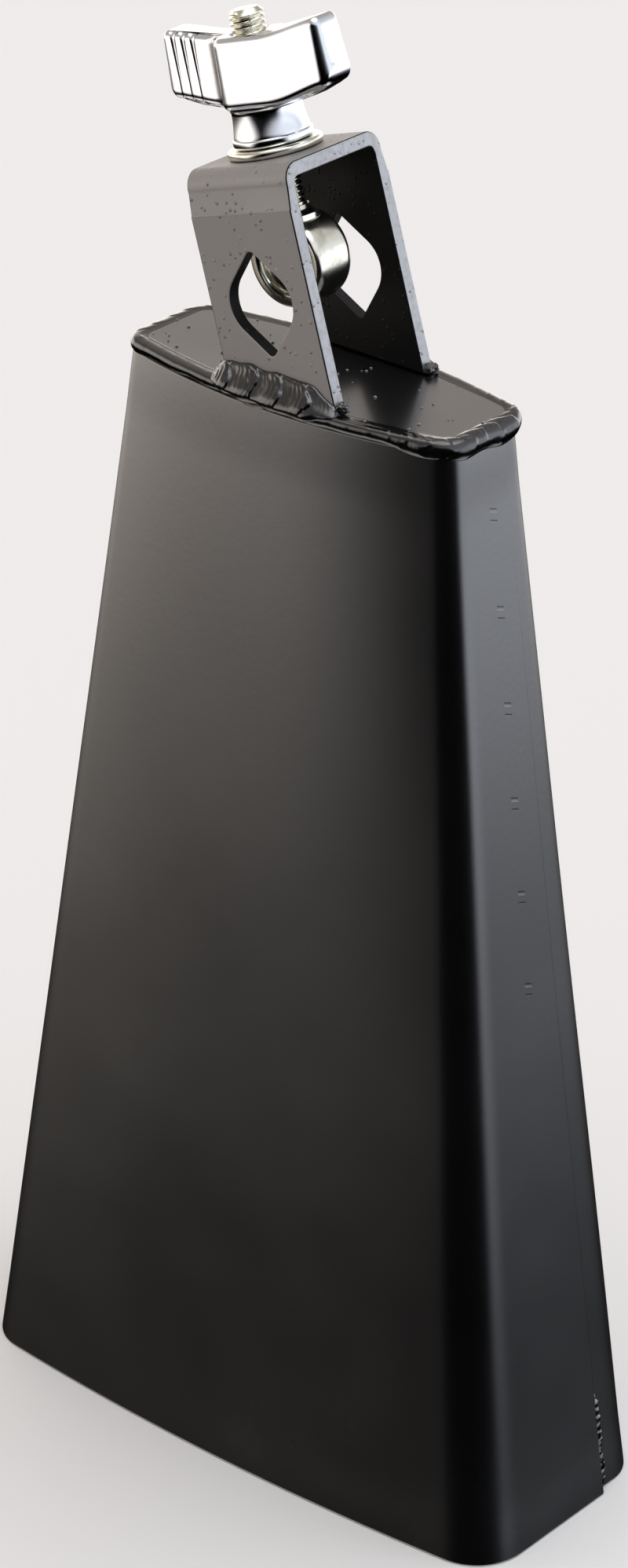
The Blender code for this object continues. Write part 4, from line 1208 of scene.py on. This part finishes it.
def makeWingNut():
    setup = wingNut
    low, high = leanBox("wing_nut")
    tip = high.x
    line = wingLine(tip)
    count = len(line)
    outs = []
    for j in range(count):
        a, b = line[j - 1], line[(j + 1) % count]
        along = Vector((b[0] - a[0], b[1] - a[1])).normalized()
        outs.append(Vector((along.y, -along.x)))
    base, ease, bore, draft = low.z, setup["ease"], setup["bore"], setup["draft"]
    neck, under = setup["neck"], setup["low"]

    def rounding(x):
        over = max(0.0, abs(x) - tip + setup["tipRound"])
        return setup["tipRound"] - math.sqrt(max(0.0, setup["tipRound"] ** 2 - over**2))

    def climb(x):
        return smooth(setup["riseFrom"], setup["riseTo"], abs(x) / tip)

    def bottom(x):
        return mix(under, setup["lowTip"], climb(x)) + rounding(x)

    def top(x):
        return mix(setup["high"], high.z, climb(x)) - rounding(x)

    def wallRing(inset, height):
        spots = [(x - out.x * inset, y - out.y * inset) for (x, y), out in zip(line, outs)]
        return [(x, y, height(x)) for x, y in spots]

    collar, shoulder = setup["collar"], base + setup["collarTop"]
    foot, edge = setup["collarEase"], setup["collarEdge"]
    profile = [(bore, base + setup["boreEase"]), (bore + setup["boreEase"], base), (collar - foot, base)]
    profile += arc((collar - foot, base + foot), foot, -60, 0, 4)
    profile += arc((collar - edge, shoulder - edge), edge, 0, 80, 4)
    start, end = shoulder + setup["collarGap"], under - setup["neckEnd"][0][1]
    for i in range(setup["neckSteps"] + 1):
        share = i / setup["neckSteps"]
        wide = mix(setup["neckLow"], neck, math.sin(share * math.pi / 2))
        profile.append((wide, mix(start, end, share)))
    profile += [(neck + outward, under - down) for outward, down in setup["neckEnd"][1:]]
    rings = [circleRing(line, r, z) for r, z in profile]
    neckRing, edgeRing = rings[-1], wallRing(ease, bottom)
    rings += [ringBetween(neckRing, edgeRing, share, share**2) for share in (0.3, 0.6, 0.9, 1.0)]
    for i in range(1, 8):
        a = math.radians(90 * i / 7)
        rings.append(wallRing(ease * (1 - math.sin(a)), lambda x: bottom(x) + ease * (1 - math.cos(a))))
    for share in (0.04, 0.2, 0.4, 0.6, 0.8, 0.96):
        rings.append(wallRing(draft * share, lambda x: mix(bottom(x) + ease, top(x) - ease, share)))
    for i in range(8):
        a = math.radians(90 * i / 7)
        rings.append(wallRing(draft + ease * (1 - math.cos(a)), lambda x: top(x) - ease * (1 - math.sin(a))))
    rimRing = rings[-1]
    mouth = [circleRing(line, bore + outward, setup["high"] - down) for outward, down in setup["mouth"]]
    rings += [ringBetween(rimRing, mouth[0], share, share) for share in (0.08, 0.3, 0.55, 0.8, 1.0)]
    rings += mouth[1:]
    points = [p for ring in rings for p in ring]
    faces = ringFaces(len(rings), count, closedPath=True)
    obj = meshObject("cast_wing_nut", points, faces, polishedChrome, smoothAngle=50)
    obj.data.transform(clampPlace @ Matrix.Rotation(math.radians(setup["turn"]), 4, "Z"))
    finishPiece(obj, "wing_nut", "wing_nut")


makeWingNut()
print("screw, washer and wing nut ready")
